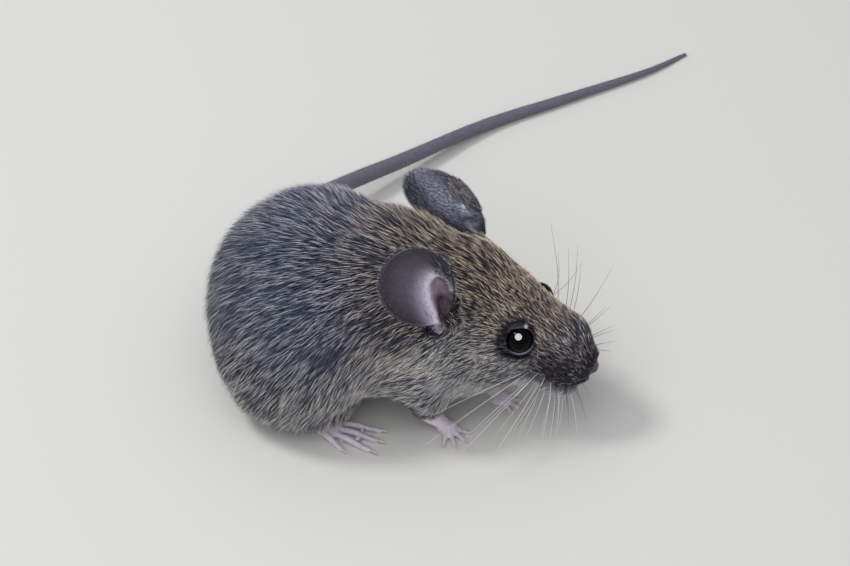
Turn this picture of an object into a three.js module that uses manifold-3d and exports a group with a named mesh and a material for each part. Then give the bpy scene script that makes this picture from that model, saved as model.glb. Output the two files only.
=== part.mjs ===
// A crouching wood mouse, life size, in millimetres, with its coat counted in every surface.
// It is laid out with +X forward, +Y to its left, +Z up and the floor at z = 0.
import * as THREE from 'three';
import { mergeVertices } from 'three/addons/utils/BufferGeometryUtils.js';
import Module from 'manifold-3d';

const wasm = await Module();
wasm.setup();

const at = (x, y, z) => new THREE.Vector3(x, y, z);
const radians = THREE.MathUtils.degToRad;
const mix = THREE.MathUtils.lerp;
const RIGHT = -1;
const LEFT = 1;
const bothSides = (make) => [RIGHT, LEFT].map(make);

// ---- Driving dimensions ----
const TRUNK_LENGTH = 34; // the round of the back, rump to shoulders
const TRUNK_WIDTH = 35.5;
const TRUNK_HEIGHT = 34.6;
const EYES_TO_NOSE = 13; // from between the eyes to the tip of the nose
const HEAD_TURN = -5.3; // degrees, to the animal's right
const HEAD_DROP = 35; // degrees, nose down
const BETWEEN_EYES = at(32.5, 2, 18.7);
const EYE_SPACING = 9.4;
const EYE_RADIUS = 2.2;
const EAR_LENGTH = 15;
const EAR_WIDTH = 12.2;
const EAR_THICKNESS = 0.7;
const HIND_FOOT_LENGTH = 19.5;
const FORE_FOOT_REACH = 4.4; // from the middle of the palm to a claw tip
const TAIL_ROOT_RADIUS = 1.75;
const TAIL_TIP_RADIUS = 0.27;
const CUT = 0.3; // width of the thin cuts between neighbouring pieces
const FILLET = 3.2; // how softly the masses of the body run into each other
const SMOOTHNESS = 0.125; // how far the facets may stray where small ones are merged
const BODY_SIDES = 28;
const BODY_RINGS = 25;
const END_RINGS = 5;

// ---- Colours of the life coat and skin ----
const finish = (color, roughness) => ({ color, roughness, metalness: 0 });
const SLATE_COAT = finish('#4b4a52', 0.9);
const BROWN_COAT = finish('#6a5844', 0.9);
const EAR_SKIN = finish('#6d6268', 0.6);
const FOOT_SKIN = finish('#c9b1c4', 0.55);
const TAIL_SKIN = finish('#6e6f88', 0.65);
const NOSE_SKIN = finish('#4d3b48', 0.35);
const EYE_BLACK = finish('#0b0a0c', 0.05);

// ---- The head's own frame: x to the nose, y to the left, z out of the crown, 0 between the eyes ----
const headFrame = new THREE.Matrix4().compose(
  BETWEEN_EYES,
  new THREE.Quaternion().setFromEuler(
    new THREE.Euler(0, radians(HEAD_DROP), radians(HEAD_TURN), 'ZYX'),
  ),
  at(1, 1, 1),
);
const inHead = (x, y, z) => at(x, y, z).applyMatrix4(headFrame);

// ---- Masses: each gives a rough distance from a point to a rounded form ----
function ball(centre, radii, frame = new THREE.Matrix4()) {
  const back = frame.clone().invert();
  const local = new THREE.Vector3();
  return (point) => {
    const near = local.copy(point).applyMatrix4(back).sub(centre).divide(radii).length();
    const slope = local.divide(radii).length();
    return slope > 0 ? (near * (near - 1)) / slope : -radii.x;
  };
}

function rod(start, startRadius, end, endRadius, frame = new THREE.Matrix4()) {
  const from = start.clone().applyMatrix4(frame);
  const along = end.clone().applyMatrix4(frame).sub(from);
  const local = new THREE.Vector3();
  return (point) => {
    local.copy(point).sub(from);
    const share = THREE.MathUtils.clamp(local.dot(along) / along.lengthSq(), 0, 1);
    return local.addScaledVector(along, -share).length() - mix(startRadius, endRadius, share);
  };
}

function melt(masses) {
  return (point) =>
    masses.reduce((joined, mass) => {
      const other = mass(point);
      const overlap = Math.max(FILLET - Math.abs(joined - other), 0) / FILLET;
      return Math.min(joined, other) - (overlap * overlap * FILLET) / 4;
    }, Infinity);
}

const headMasses = [
  ball(at(-7, 0, -1.2), at(9.5, 6.6, 5.7), headFrame), // braincase
  ...bothSides((side) => ball(at(-3.6, side * 4.2, -4.4), at(8, 4.4, 5.4), headFrame)), // cheeks
  rod(at(-1, 0, 0), 4.8, at(6.6, 0, 0.2), 3.9, headFrame), // bridge of the snout
  rod(at(6.6, 0, 0), 3.8, at(EYES_TO_NOSE - 2, 0, -0.2), 2.1, headFrame), // muzzle
  ...bothSides((side) => ball(at(7.4, side * 2, -2.4), at(4.3, 2.9, 3.1), headFrame)), // whisker pads
  ball(at(EYES_TO_NOSE - 1.4, 0, -0.4), at(1.4, 1.3, 1.2), headFrame), // nose
  rod(at(-2, 0, -7.4), 4.6, at(5.4, 0, -5.8), 2.9, headFrame), // lower jaw
];
const bodyMasses = [
  ball(at(0, 0, TRUNK_HEIGHT / 2 + 0.2), at(TRUNK_LENGTH / 2, TRUNK_WIDTH / 2, TRUNK_HEIGHT / 2)),
  ball(at(-3.4, 0, 13), at(12.2, TRUNK_WIDTH / 2 - 1.6, 12.8)), // rump
  ...bothSides((side) => ball(at(-2, side * 9.2, 11), at(11, 8.2, 10.8))), // haunches
  ball(at(12, 1.6, 19.2), at(12.9, 13.3, 12.9)), // shoulders
  ball(at(17.5, -6.8, 11.5), at(7.5, 5.4, 7.6)), // right upper arm
  ball(at(19.5, 7, 11.5), at(7.5, 5.4, 7.6)), // left upper arm
  ball(at(25.5, 0.6, 11.8), at(7.4, 7, 7)), // breast
  rod(at(13.4, 1.7, 22), 11.5, inHead(-11, 0.2, -1.4), 6.6), // neck
];
const body = melt([...bodyMasses, ...headMasses]);

// ---- Closed meshes and their solids ----
function geometryOf(points, faces) {
  const geometry = new THREE.BufferGeometry();
  const numbers = points.flatMap((point) => point.toArray());
  geometry.setAttribute('position', new THREE.Float32BufferAttribute(numbers, 3));
  geometry.setIndex(faces.flat());
  return geometry;
}

function solidOf(geometry) {
  const bare = geometry.clone();
  bare.deleteAttribute('normal');
  bare.deleteAttribute('uv');
  const merged = mergeVertices(bare, 1e-4);
  return new wasm.Manifold(
    new wasm.Mesh({
      numProp: 3,
      vertProperties: new Float32Array(merged.attributes.position.array),
      triVerts: new Uint32Array(merged.index.array),
    }),
  );
}

// Skins a stack of equal rings and closes each end with a point. The rings run from back to front.
function stack(rings, back, front) {
  const sides = rings[0].length;
  const last = (rings.length - 1) * sides;
  const backPole = rings.length * sides;
  const faces = [];
  for (let side = 0; side < sides; side += 1) {
    const next = (side + 1) % sides;
    for (let low = 0; low < last; low += sides) {
      const high = low + sides;
      faces.push([low + side, low + next, high + next], [low + side, high + next, high + side]);
    }
    faces.push([next, side, backPole], [last + next, backPole + 1, last + side]);
  }
  return geometryOf([...rings.flat(), back, front], faces);
}

function flattenOnFloor(geometry) {
  const places = geometry.attributes.position;
  for (let vertex = 0; vertex < places.count; vertex += 1) {
    places.setZ(vertex, Math.max(places.getZ(vertex), 0));
  }
  return geometry;
}

// ---- The body, whole: rays from an axis inside it meet its surface, ring by ring ----
function meetSurface(origin, direction, field, reach) {
  const step = 0.5;
  const spot = new THREE.Vector3();
  const outside = (length) => field(spot.copy(origin).addScaledVector(direction, length)) > 0;
  let inner = reach;
  while (inner > step && outside(inner)) inner -= step;
  let outer = inner + step;
  for (let halving = 0; halving < 16; halving += 1) {
    const middle = (inner + outer) / 2;
    if (outside(middle)) outer = middle;
    else inner = middle;
  }
  return origin.clone().addScaledVector(direction, inner);
}

function bodyShell(field) {
  const axis = new THREE.CatmullRomCurve3([
    at(-5, 0, 16),
    at(4, 0.2, 17.5),
    at(13, 0.7, 19.5),
    at(21, 1.4, 21),
    inHead(-5, 0, -0.8),
    inHead(2, 0, -0.9),
    inHead(EYES_TO_NOSE - 3.2, 0, -1),
  ]);
  const stations = [];
  for (let step = 1; step <= END_RINGS; step += 1) {
    stations.push({ share: 0, tilt: radians(90 * (step / END_RINGS - 1)) });
  }
  for (let step = 1; step < BODY_RINGS; step += 1) {
    stations.push({ share: (step / BODY_RINGS) ** 0.9, tilt: 0 });
  }
  for (let step = 0; step < END_RINGS; step += 1) {
    stations.push({ share: 1, tilt: radians((90 * step) / END_RINGS) });
  }
  const rings = stations.map(({ share, tilt }) => {
    const origin = axis.getPointAt(share);
    const ahead = axis.getTangentAt(share);
    const left = at(0, 1, 0).addScaledVector(ahead, -ahead.y).normalize();
    const up = ahead.clone().cross(left);
    const reach = share < 0.55 ? 26 : 15;
    return Array.from({ length: BODY_SIDES }, (_, side) => {
      const turn = (2 * Math.PI * side) / BODY_SIDES;
      const ray = left.clone().multiplyScalar(Math.cos(turn) * Math.cos(tilt));
      ray.addScaledVector(up, Math.sin(turn) * Math.cos(tilt)).addScaledVector(ahead, Math.sin(tilt));
      return meetSurface(origin, ray, field, reach);
    });
  });
  const rump = meetSurface(axis.getPointAt(0), axis.getTangentAt(0).negate(), field, 26);
  const tip = meetSurface(axis.getPointAt(1), axis.getTangentAt(1), field, 8);
  return solidOf(flattenOnFloor(stack(rings, rump, tip)));
}

// ---- Cutters: rounded ones for the limbs, flat ones for the neck ----
function egg(centre, radii, { frame = new THREE.Matrix4(), grow = 0, sides = 14 } = {}) {
  const geometry = new THREE.SphereGeometry(1, sides, Math.round(sides * 0.6));
  geometry.scale(radii.x + grow, radii.y + grow, radii.z + grow);
  geometry.translate(centre.x, centre.y, centre.z);
  geometry.applyMatrix4(frame);
  return solidOf(geometry);
}

function allBehind(point, ahead, shift) {
  const depth = 120;
  const geometry = new THREE.BoxGeometry(depth, depth, depth);
  geometry.translate(0, 0, -depth / 2);
  geometry.applyQuaternion(new THREE.Quaternion().setFromUnitVectors(at(0, 0, 1), ahead));
  const face = point.clone().addScaledVector(ahead, shift);
  geometry.translate(face.x, face.y, face.z);
  return solidOf(geometry);
}

// ---- Lofts: limbs, digits and tail are oval rings along a curve, flat where they meet the floor ----
function loft(curve, radiusAt, shares, { sides = 8, squash = 1 } = {}) {
  const rings = shares.map((share) => {
    const centre = curve.getPointAt(share);
    const ahead = curve.getTangentAt(share);
    const left = at(0, 0, 1).cross(ahead).normalize();
    const top = ahead.clone().cross(left);
    return Array.from({ length: sides }, (_, side) => {
      const turn = (2 * Math.PI * (side + 0.5)) / sides;
      const spot = centre.clone().addScaledVector(left, radiusAt(share) * Math.cos(turn));
      return spot.addScaledVector(top, radiusAt(share) * squash * Math.sin(turn));
    });
  });
  const middle = (ring) =>
    ring.reduce((sum, spot) => sum.add(spot), new THREE.Vector3()).divideScalar(ring.length);
  const geometry = stack(rings, middle(rings[0]), middle(rings.at(-1)));
  return solidOf(flattenOnFloor(geometry));
}

const underFloor = allBehind(at(0, 0, 0), at(0, 0, 1), 0);
const evenly = (count) => Array.from({ length: count + 1 }, (_, step) => step / count);
const joined = (solids) => solids.reduce((whole, solid) => whole.add(solid));

// ---- Feet: a flattened sole or palm with tapering digits, each ending in its claw ----
const DIGIT_SHARES = [0, 0.4, 0.76, 0.86, 1];

function digit(base, heading, length, thick) {
  const ahead = at(Math.cos(radians(heading)), Math.sin(radians(heading)), 0);
  const along = (share, height) => base.clone().setZ(height).addScaledVector(ahead, share * length);
  const curve = new THREE.CatmullRomCurve3([
    along(0, thick * 1.5),
    along(0.35, thick * 1.75),
    along(0.75, thick * 0.7),
    along(0.88, thick * 0.75),
    along(1, 0.12),
  ]);
  const clawStart = 0.8;
  const radiusAt = (share) => {
    if (share < clawStart) return thick * mix(1.1, 0.9, share);
    return mix(thick * 0.62, 0.12, (share - clawStart) / (1 - clawStart));
  };
  return loft(curve, radiusAt, DIGIT_SHARES, { sides: 6 });
}

// Each foot comes with the room that it takes, cut clear, in whatever lies over it.
function hindFoot(side, heel, heading) {
  const ahead = at(Math.cos(radians(heading)), Math.sin(radians(heading)), 0);
  const across = at(-ahead.y, ahead.x, 0).multiplyScalar(side);
  const spot = (length, outward, height) =>
    heel.clone().addScaledVector(ahead, length).addScaledVector(across, outward).setZ(height);
  const ballOfFoot = HIND_FOOT_LENGTH * 0.63;
  const sole = new THREE.CatmullRomCurve3([
    spot(0, 0, 1.1),
    spot(ballOfFoot * 0.5, 0, 1),
    spot(ballOfFoot + 0.8, 0, 0.8),
  ]);
  const width = (share) => mix(1.35, 1.95, share) * Math.sqrt(1 - (2 * share - 1) ** 8 * 0.75);
  const toeLength = HIND_FOOT_LENGTH - ballOfFoot + 0.8;
  const toes = [
    [ballOfFoot * 0.74, -1.1, -24, toeLength * 0.52], // inner toe
    [ballOfFoot - 0.6, -1.1, -9, toeLength * 0.93],
    [ballOfFoot - 0.4, 0, 0, toeLength],
    [ballOfFoot - 0.8, 1.1, 10, toeLength * 0.95],
    [ballOfFoot * 0.78, 1.2, 27, toeLength * 0.7], // outer toe
  ].map(([length, outward, splay, reach]) =>
    digit(spot(length, outward, 0), heading + side * splay, reach, 0.58),
  );
  const slot = new THREE.LineCurve3(spot(-0.8, 0, 1.2), spot(HIND_FOOT_LENGTH + 1, 0, 1.2));
  return {
    solid: joined([loft(sole, width, evenly(6), { sides: 10, squash: 0.68 }), ...toes]),
    room: loft(slot, (share) => mix(2.7, 4.4, share), [0, 1], { sides: 10, squash: 0.55 }),
  };
}

function foreFoot(palm, heading, spread) {
  const middle = palm.clone().setZ(0.85);
  const radii = at(1.7, 1.6, 1.1);
  const fingers = [-1.5, -0.5, 0.5, 1.5].map((place) =>
    digit(palm, heading + place * spread, FORE_FOOT_REACH - 0.35 * Math.abs(place), 0.5),
  );
  return {
    solid: joined([egg(middle, radii, { sides: 10 }), ...fingers]).subtract(underFloor),
    room: egg(middle, radii, { grow: CUT, sides: 10 }),
  };
}

// ---- Ears: a thin cup, round at the tip and rolled into a funnel at its root ----
function ear(root, reach, opening) {
  const along = reach.clone().normalize();
  const facing = opening.clone().addScaledVector(along, -opening.dot(along)).normalize();
  const across = along.clone().cross(facing);
  const sectors = 22;
  const ringCount = 4;
  const cup = (length, width) => {
    const roll = mix(5.2, 1.5, Math.sqrt(length / EAR_LENGTH)) * (width / (EAR_WIDTH / 2)) ** 2;
    const lean = -0.9 * Math.sin((Math.PI * length) / EAR_LENGTH);
    const spot = root.clone().addScaledVector(along, length).addScaledVector(across, width);
    return spot.addScaledVector(facing, roll + lean);
  };
  const onOutline = (turn, share) => {
    const towardsTip = Math.cos(turn) * share;
    const taper = 1 - 0.34 * ((1 - towardsTip) / 2) ** 1.6;
    const length = (EAR_LENGTH / 2) * (1 + towardsTip);
    return [length, (EAR_WIDTH / 2) * Math.sin(turn) * share * taper];
  };
  const nudge = 0.01;
  const wall = (turn, share, depth) => {
    const [length, width] = onOutline(turn, share);
    const middle = cup(length, width);
    const alongCup = cup(length + nudge, width).sub(middle);
    const acrossCup = cup(length, width + nudge).sub(middle);
    return middle.addScaledVector(alongCup.cross(acrossCup).normalize(), depth);
  };
  const side = (depth) =>
    evenly(ringCount)
      .slice(1)
      .map((share) =>
        Array.from({ length: sectors }, (_, sector) => wall((2 * Math.PI * sector) / sectors, share, depth)),
      );
  const inner = side(EAR_THICKNESS / 2);
  const outer = side(-EAR_THICKNESS / 2);
  return solidOf(
    stack([...outer, ...inner.reverse()], wall(0, 0, -EAR_THICKNESS / 2), wall(0, 0, EAR_THICKNESS / 2)),
  );
}

// ---- Limbs: a rounded cut through the coat at the thigh or upper arm, with a forearm to the wrist ----
const thigh = (side) => (grow) => egg(at(-1.5, side * 13.5, 10.4), at(11.8, 9.5, 11), { grow });
const upperArm = (middle) => (grow) => egg(middle, at(6.6, 6.4, 8), { grow });
const forearm = (elbow, middle, wrist) => (grow) =>
  loft(
    new THREE.CatmullRomCurve3([elbow, middle, wrist]),
    (share) => mix(2.6, 1.35, share) + grow,
    evenly(5),
  );

const legs = {
  foreleg_right: {
    cut: upperArm(at(17.8, -10, 10.8)),
    limb: forearm(at(17.5, -7.4, 7.5), at(19, -6.9, 3.6), at(21.2, -6.4, 1.7)),
    finish: BROWN_COAT,
  },
  foreleg_left: {
    cut: upperArm(at(20, 10, 10.8)),
    limb: forearm(at(21.5, 5.6, 8), at(24.5, 3.4, 4.2), at(27.2, 1.8, 1.7)),
    finish: BROWN_COAT,
  },
  hindleg_right: { cut: thigh(RIGHT), finish: SLATE_COAT },
  hindleg_left: { cut: thigh(LEFT), finish: SLATE_COAT },
};
const feet = {
  forefoot_right: foreFoot(at(22, -6.3, 0), -42, 29),
  forefoot_left: foreFoot(at(28, 1.6, 0), -2, 24),
  hindfoot_right: hindFoot(RIGHT, at(-6, -9.3, 0), -6),
  hindfoot_left: hindFoot(LEFT, at(-5, 9.6, 0), 7),
};

const tailCurve = new THREE.CatmullRomCurve3([
  at(-13, 2, 10),
  at(-16.5, 8, 9),
  at(-16.5, 16, 8),
  at(-12.5, 26, 6.7),
  at(-4.8, 36.8, 5),
  at(2.2, 46, 3.2),
  at(12.1, 58.6, 1.3),
  at(23, 68, 0.95),
  at(33.6, 77, 0.7),
  at(39, 83.2, TAIL_TIP_RADIUS),
]);
const tailRadius = (share) => mix(TAIL_TIP_RADIUS, TAIL_ROOT_RADIUS, (1 - share) ** 0.75);
const TAIL_LENGTHS = [
  ['tail_base', 0, 0.26, 10],
  ['tail_middle', 0.26, 0.52, 8],
  ['tail_end', 0.52, 0.78, 7],
  ['tail_tip', 0.78, 1, 6],
];

// ---- The parting: each piece is taken out of the whole body, with room for a thin cut around it ----
const cleared = bodyShell((point) => body(point) - CUT);
const footRoom = joined(Object.values(feet).map(({ room }) => room));
const pieces = new Map();
let rest = bodyShell(body);

// Loose crumbs and sealed bubbles that the cuts leave are dropped: a piece is its largest closed body.
function keep(name, solid, finish) {
  const bodies = solid.simplify(SMOOTHNESS).decompose().sort((a, b) => b.volume() - a.volume());
  pieces.set(name, { solid: bodies[0], finish });
}

for (const [name, { cut, limb, finish }] of Object.entries(legs)) {
  let flesh = rest.intersect(cut(0));
  rest = rest.subtract(cut(CUT));
  if (limb) {
    flesh = flesh.add(limb(0));
    rest = rest.subtract(limb(CUT));
  }
  keep(name, flesh.subtract(footRoom), finish);
}
for (const [name, { solid }] of Object.entries(feet)) keep(name, solid, FOOT_SKIN);
rest = rest.subtract(footRoom);

for (const [name, side] of [['eye_right', RIGHT], ['eye_left', LEFT]]) {
  const centre = at(0, (side * EYE_SPACING) / 2, 0);
  const radii = at(EYE_RADIUS, EYE_RADIUS, EYE_RADIUS);
  const eye = (grow) => egg(centre, radii, { frame: headFrame, grow, sides: 12 });
  keep(name, eye(0), EYE_BLACK);
  rest = rest.subtract(eye(CUT));
}
const ears = {
  ear_right: ear(inHead(-11.5, -9.6, -1.3), at(-0.5, -0.14, 0.855), at(0.63, -0.72, 0.28)),
  ear_left: ear(inHead(-10.7, 9.6, -3.3), at(-0.82, 0.22, 0.53), at(0.25, 0.96, -0.06)),
};
for (const [name, solid] of Object.entries(ears)) {
  keep(name, solid.subtract(cleared), EAR_SKIN);
}

const inFace = (centre, radii) => (grow) => egg(centre, radii, { frame: headFrame, grow, sides: 14 });
const CORES = {
  nose: { cut: inFace(at(EYES_TO_NOSE - 0.7, 0, -0.3), at(1.5, 1.5, 1.4)), finish: NOSE_SKIN },
  lower_jaw: { cut: inFace(at(5, 0, -7.2), at(4.8, 2.8, 2.6)), finish: BROWN_COAT },
  breast: { cut: (grow) => egg(at(25.5, 0.6, 8), at(9.5, 11, 6.6), { grow }), finish: BROWN_COAT },
};
for (const [name, { cut, finish }] of Object.entries(CORES)) {
  keep(name, rest.intersect(cut(0)), finish);
  rest = rest.subtract(cut(CUT));
}

const nape = at(17, 0, 29.5);
const napeFacing = at(0.885, 0, 0.466);
const withers = at(10.5, 0, 29.5);
const withersFacing = at(0.93, 0, 0.37).normalize();
keep('head', rest.subtract(allBehind(nape, napeFacing, CUT / 2)), BROWN_COAT);
rest = rest.intersect(allBehind(nape, napeFacing, -CUT / 2));
keep('neck', rest.subtract(allBehind(withers, withersFacing, CUT / 2)), BROWN_COAT);
keep('trunk', rest.intersect(allBehind(withers, withersFacing, -CUT / 2)), SLATE_COAT);

const tailCut = CUT / tailCurve.getLength();
for (const [name, from, to, rings] of TAIL_LENGTHS) {
  const shares = evenly(rings).map((step) => mix(from, to - tailCut, step));
  const length = loft(tailCurve, tailRadius, shares, { sides: 10 });
  keep(name, length.subtract(cleared), TAIL_SKIN);
}

// ---- The scene graph, with the middle of the whole animal's footprint at the origin ----
function meshOf(name, solid, finish) {
  const { vertProperties, triVerts } = solid.getMesh();
  const geometry = new THREE.BufferGeometry();
  geometry.setAttribute('position', new THREE.BufferAttribute(new Float32Array(vertProperties), 3));
  geometry.setIndex(new THREE.BufferAttribute(new Uint32Array(triVerts), 1));
  const mesh = new THREE.Mesh(geometry, new THREE.MeshStandardMaterial(finish));
  mesh.name = name;
  return mesh;
}

const mouse = new THREE.Group();
for (const [name, { solid, finish }] of pieces) mouse.add(meshOf(name, solid, finish));
const extent = new THREE.Box3().setFromObject(mouse);
const middle = extent.getCenter(new THREE.Vector3());
mouse.position.set(-middle.x, -middle.y, -extent.min.z);

export default mouse;
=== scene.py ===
# %% [markdown]
# # A wood mouse, crouching, life size
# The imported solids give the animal's outline out to the tips of its coat. This notebook dresses them:
# one skin lies under that outline, thousands of small tufts grow from it, and the eyes, claws and
# whiskers are pieces of their own. Everything is in metres, in the frame of the solids.

import math

import bmesh
import bpy
import numpy as np
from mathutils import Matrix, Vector
from mathutils.bvhtree import BVHTree
from mathutils.kdtree import KDTree


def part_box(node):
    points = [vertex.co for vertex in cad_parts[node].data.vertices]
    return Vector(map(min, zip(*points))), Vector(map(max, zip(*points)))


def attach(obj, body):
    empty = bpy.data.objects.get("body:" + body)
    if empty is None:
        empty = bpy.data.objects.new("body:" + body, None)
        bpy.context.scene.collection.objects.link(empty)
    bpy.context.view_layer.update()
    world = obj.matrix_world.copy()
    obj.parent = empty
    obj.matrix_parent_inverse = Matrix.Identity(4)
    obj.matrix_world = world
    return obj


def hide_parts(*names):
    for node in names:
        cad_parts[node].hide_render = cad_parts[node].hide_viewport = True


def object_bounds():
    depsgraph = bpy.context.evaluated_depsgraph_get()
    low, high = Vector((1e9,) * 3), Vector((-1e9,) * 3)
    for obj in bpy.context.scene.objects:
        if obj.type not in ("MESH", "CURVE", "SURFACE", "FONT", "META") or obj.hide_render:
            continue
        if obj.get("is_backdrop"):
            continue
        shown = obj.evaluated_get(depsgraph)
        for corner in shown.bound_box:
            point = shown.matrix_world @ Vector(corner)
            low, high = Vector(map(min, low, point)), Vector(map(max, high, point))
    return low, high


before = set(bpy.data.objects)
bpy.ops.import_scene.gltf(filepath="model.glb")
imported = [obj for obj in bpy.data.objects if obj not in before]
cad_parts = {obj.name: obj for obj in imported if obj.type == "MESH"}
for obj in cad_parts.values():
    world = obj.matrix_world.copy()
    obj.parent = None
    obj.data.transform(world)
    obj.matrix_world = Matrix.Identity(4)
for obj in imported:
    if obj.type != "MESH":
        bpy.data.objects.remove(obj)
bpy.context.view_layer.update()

# %% [markdown]
# ## Where things are
# An animal is easiest to describe in its own frames. The body's frame has x forward, y to the left
# and z up from the floor, in millimetres. The head is turned and lowered, so it has a frame too, with
# its origin between the eyes. Both are found from the two eyes of the solids.

# %% Frames of the body and the head
MM = 0.001
BETWEEN_EYES = np.array([32.5, 2.0, 18.7])
HEAD_DROP = math.radians(35)


def middle_of(node):
    low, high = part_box(node)
    return np.array((low + high) / 2) / MM


eye_middles = {side: middle_of("eye_" + side) for side in ("right", "left")}
ORIGIN = (eye_middles["right"] + eye_middles["left"]) / 2 - BETWEEN_EYES
HEAD_LEFT = eye_middles["left"] - eye_middles["right"]
EYE_SPACING = np.linalg.norm(HEAD_LEFT)
HEAD_LEFT = HEAD_LEFT / EYE_SPACING
level_ahead = np.array([HEAD_LEFT[1], -HEAD_LEFT[0], 0.0])
HEAD_AHEAD = math.cos(HEAD_DROP) * level_ahead - math.sin(HEAD_DROP) * np.array([0.0, 0.0, 1.0])
HEAD_UP = np.cross(HEAD_AHEAD, HEAD_LEFT)
HEAD_AXES = np.array([HEAD_AHEAD, HEAD_LEFT, HEAD_UP])
SIDES = {"right": -1, "left": 1}


def to_head(spots):
    return (np.asarray(spots) - BETWEEN_EYES) @ HEAD_AXES.T


def from_head(*place):
    return BETWEEN_EYES + np.array(place, float) @ HEAD_AXES


def unit(vectors):
    vectors = np.asarray(vectors, float)
    return vectors / np.maximum(np.linalg.norm(vectors, axis=-1, keepdims=True), 1e-9)


def smooth(values, low, high):
    share = np.clip((np.asarray(values, float) - low) / (high - low), 0, 1)
    return share * share * (3 - 2 * share)


print("eyes are", round(EYE_SPACING, 2), "mm apart; the body's frame starts at", ORIGIN.round(2))

# %% [markdown]
# ## Camera
# A long lens a metre away keeps the proportions nearly parallel. It stands above the animal's right
# side, a little ahead of square, and looks at a point just behind the ears.

# %% Camera
AZIMUTH, ELEVATION, DISTANCE = math.radians(14), math.radians(45), 1.0
VIEW_WIDTH = 0.1275
towards_camera = Vector(
    (
        math.sin(AZIMUTH) * math.cos(ELEVATION),
        -math.cos(AZIMUTH) * math.cos(ELEVATION),
        math.sin(ELEVATION),
    )
)
aim = Vector((ORIGIN + BETWEEN_EYES + [-16.8, 3.2, 0.1]) * MM)
camera_data = bpy.data.cameras.new("camera")
camera_data.sensor_width = 36
camera_data.lens = 36 * DISTANCE / VIEW_WIDTH
camera_data.clip_start, camera_data.clip_end = 0.05, 10
camera = bpy.data.objects.new("camera", camera_data)
camera.location = aim + towards_camera * DISTANCE
camera.rotation_euler = (-towards_camera).to_track_quat("-Z", "Y").to_euler()
bpy.context.scene.collection.objects.link(camera)
bpy.context.scene.camera = camera
print("lens:", round(camera_data.lens), "mm")

# %% [markdown]
# ## Tools for materials
# A material is a small graph of nodes. These functions add nodes and link them, and they turn a colour
# in the usual six digits into the linear values that light is worked out with.


# %% Colours and nodes
def linear(hex_code):
    channels = [int(hex_code[place : place + 2], 16) / 255 for place in (1, 3, 5)]
    return [c / 12.92 if c <= 0.04045 else ((c + 0.055) / 1.055) ** 2.4 for c in channels] + [1.0]


def add_node(tree, kind, settings=None, **inputs):
    """Adds a node; a value that is a socket is linked, and any other is set."""
    node = tree.nodes.new(kind)
    for name, value in (settings or {}).items():
        setattr(node, name, value)
    for name, value in inputs.items():
        socket = node.inputs[int(name[1:])] if name[0] == "_" else node.inputs[name.replace("_", " ")]
        if isinstance(value, bpy.types.NodeSocket):
            tree.links.new(value, socket)
        else:
            socket.default_value = value
    return node


def new_material(name):
    material = bpy.data.materials.new(name)
    material.use_nodes = True
    material.node_tree.nodes.clear()
    return material, material.node_tree


def finish_material(tree, shader, bump=None):
    if bump is not None:
        tree.links.new(bump.outputs["Normal"], shader.inputs["Normal"])
    add_node(tree, "ShaderNodeOutputMaterial", Surface=shader.outputs[0])


def plain_material(name, colour, roughness, **more):
    """A material of one colour."""
    material, tree = new_material(name)
    settings = {"Base_Color": linear(colour), "Roughness": roughness, **more}
    finish_material(tree, add_node(tree, "ShaderNodeBsdfPrincipled", **settings))
    return material


# %% [markdown]
# ## Studio
# A pale floor and soft lamps overhead, like an overcast sky, show the coat without hard shadows. A
# large lamp is softer than a small one, because it shines from many directions at once.

# %% Floor, lamps and world
# Matt painted board: pale and even, so that the animal's own colours and its soft shadow stand out.
floor_material = plain_material("painted_board", "#dcdad6", 0.85)
floor_mesh = bpy.data.meshes.new("floor")
reach, drop = 3.0, 0.02 * MM
corners = [(-reach, -reach, -drop), (reach, -reach, -drop), (reach, reach, -drop), (-reach, reach, -drop)]
floor_mesh.from_pydata(corners, [], [(0, 1, 2, 3)])
floor_mesh.materials.append(floor_material)
floor = bpy.data.objects.new("floor", floor_mesh)
bpy.context.scene.collection.objects.link(floor)


def add_lamp(name, place, size, power):
    data = bpy.data.lights.new(name, "AREA")
    data.shape, data.size, data.energy = "DISK", size, power
    lamp = bpy.data.objects.new(name, data)
    lamp.location = place
    lamp.rotation_euler = (Vector(place) - aim).to_track_quat("Z", "Y").to_euler()
    bpy.context.scene.collection.objects.link(lamp)
    return lamp


right_of_camera = camera.rotation_euler.to_matrix() @ Vector((1, 0, 0))
above_camera = camera.rotation_euler.to_matrix() @ Vector((0, 1, 0))
add_lamp("sky", aim + Vector((-0.05, -0.4, 0.78)), 0.9, 2.9)
towards_key = -0.51 * right_of_camera + 0.64 * above_camera + 0.57 * towards_camera
add_lamp("key", aim + 0.7 * towards_key, 0.17, 1.9)
world = bpy.data.worlds.new("studio")
world.use_nodes = True
world.node_tree.nodes["Background"].inputs["Color"].default_value = linear("#e8edf2")
world.node_tree.nodes["Background"].inputs["Strength"].default_value = 0.5
bpy.context.scene.world = world
bpy.context.scene.view_settings.view_transform = "Standard"

# %% [markdown]
# ## Helpers for meshes
# Most pieces are computed as arrays of points, in millimetres in the body's frame. These few functions
# turn them into meshes, read them back, and give an object its material or the mesh that a modifier
# makes of it.


# %% Helpers for meshes
def mesh_arrays(mesh):
    spots = np.empty(len(mesh.vertices) * 3, np.float32)
    mesh.vertices.foreach_get("co", spots)
    normals = np.empty(len(mesh.vertices) * 3, np.float32)
    mesh.vertices.foreach_get("normal", normals)
    return spots.reshape(-1, 3).astype(float), normals.reshape(-1, 3).astype(float)


def move_vertices(mesh, spots):
    mesh.vertices.foreach_set("co", np.asarray(spots, np.float32).ravel())
    mesh.update()


def object_of(name, mesh):
    thing = bpy.data.objects.new(name, mesh)
    bpy.context.scene.collection.objects.link(thing)
    return thing


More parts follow.
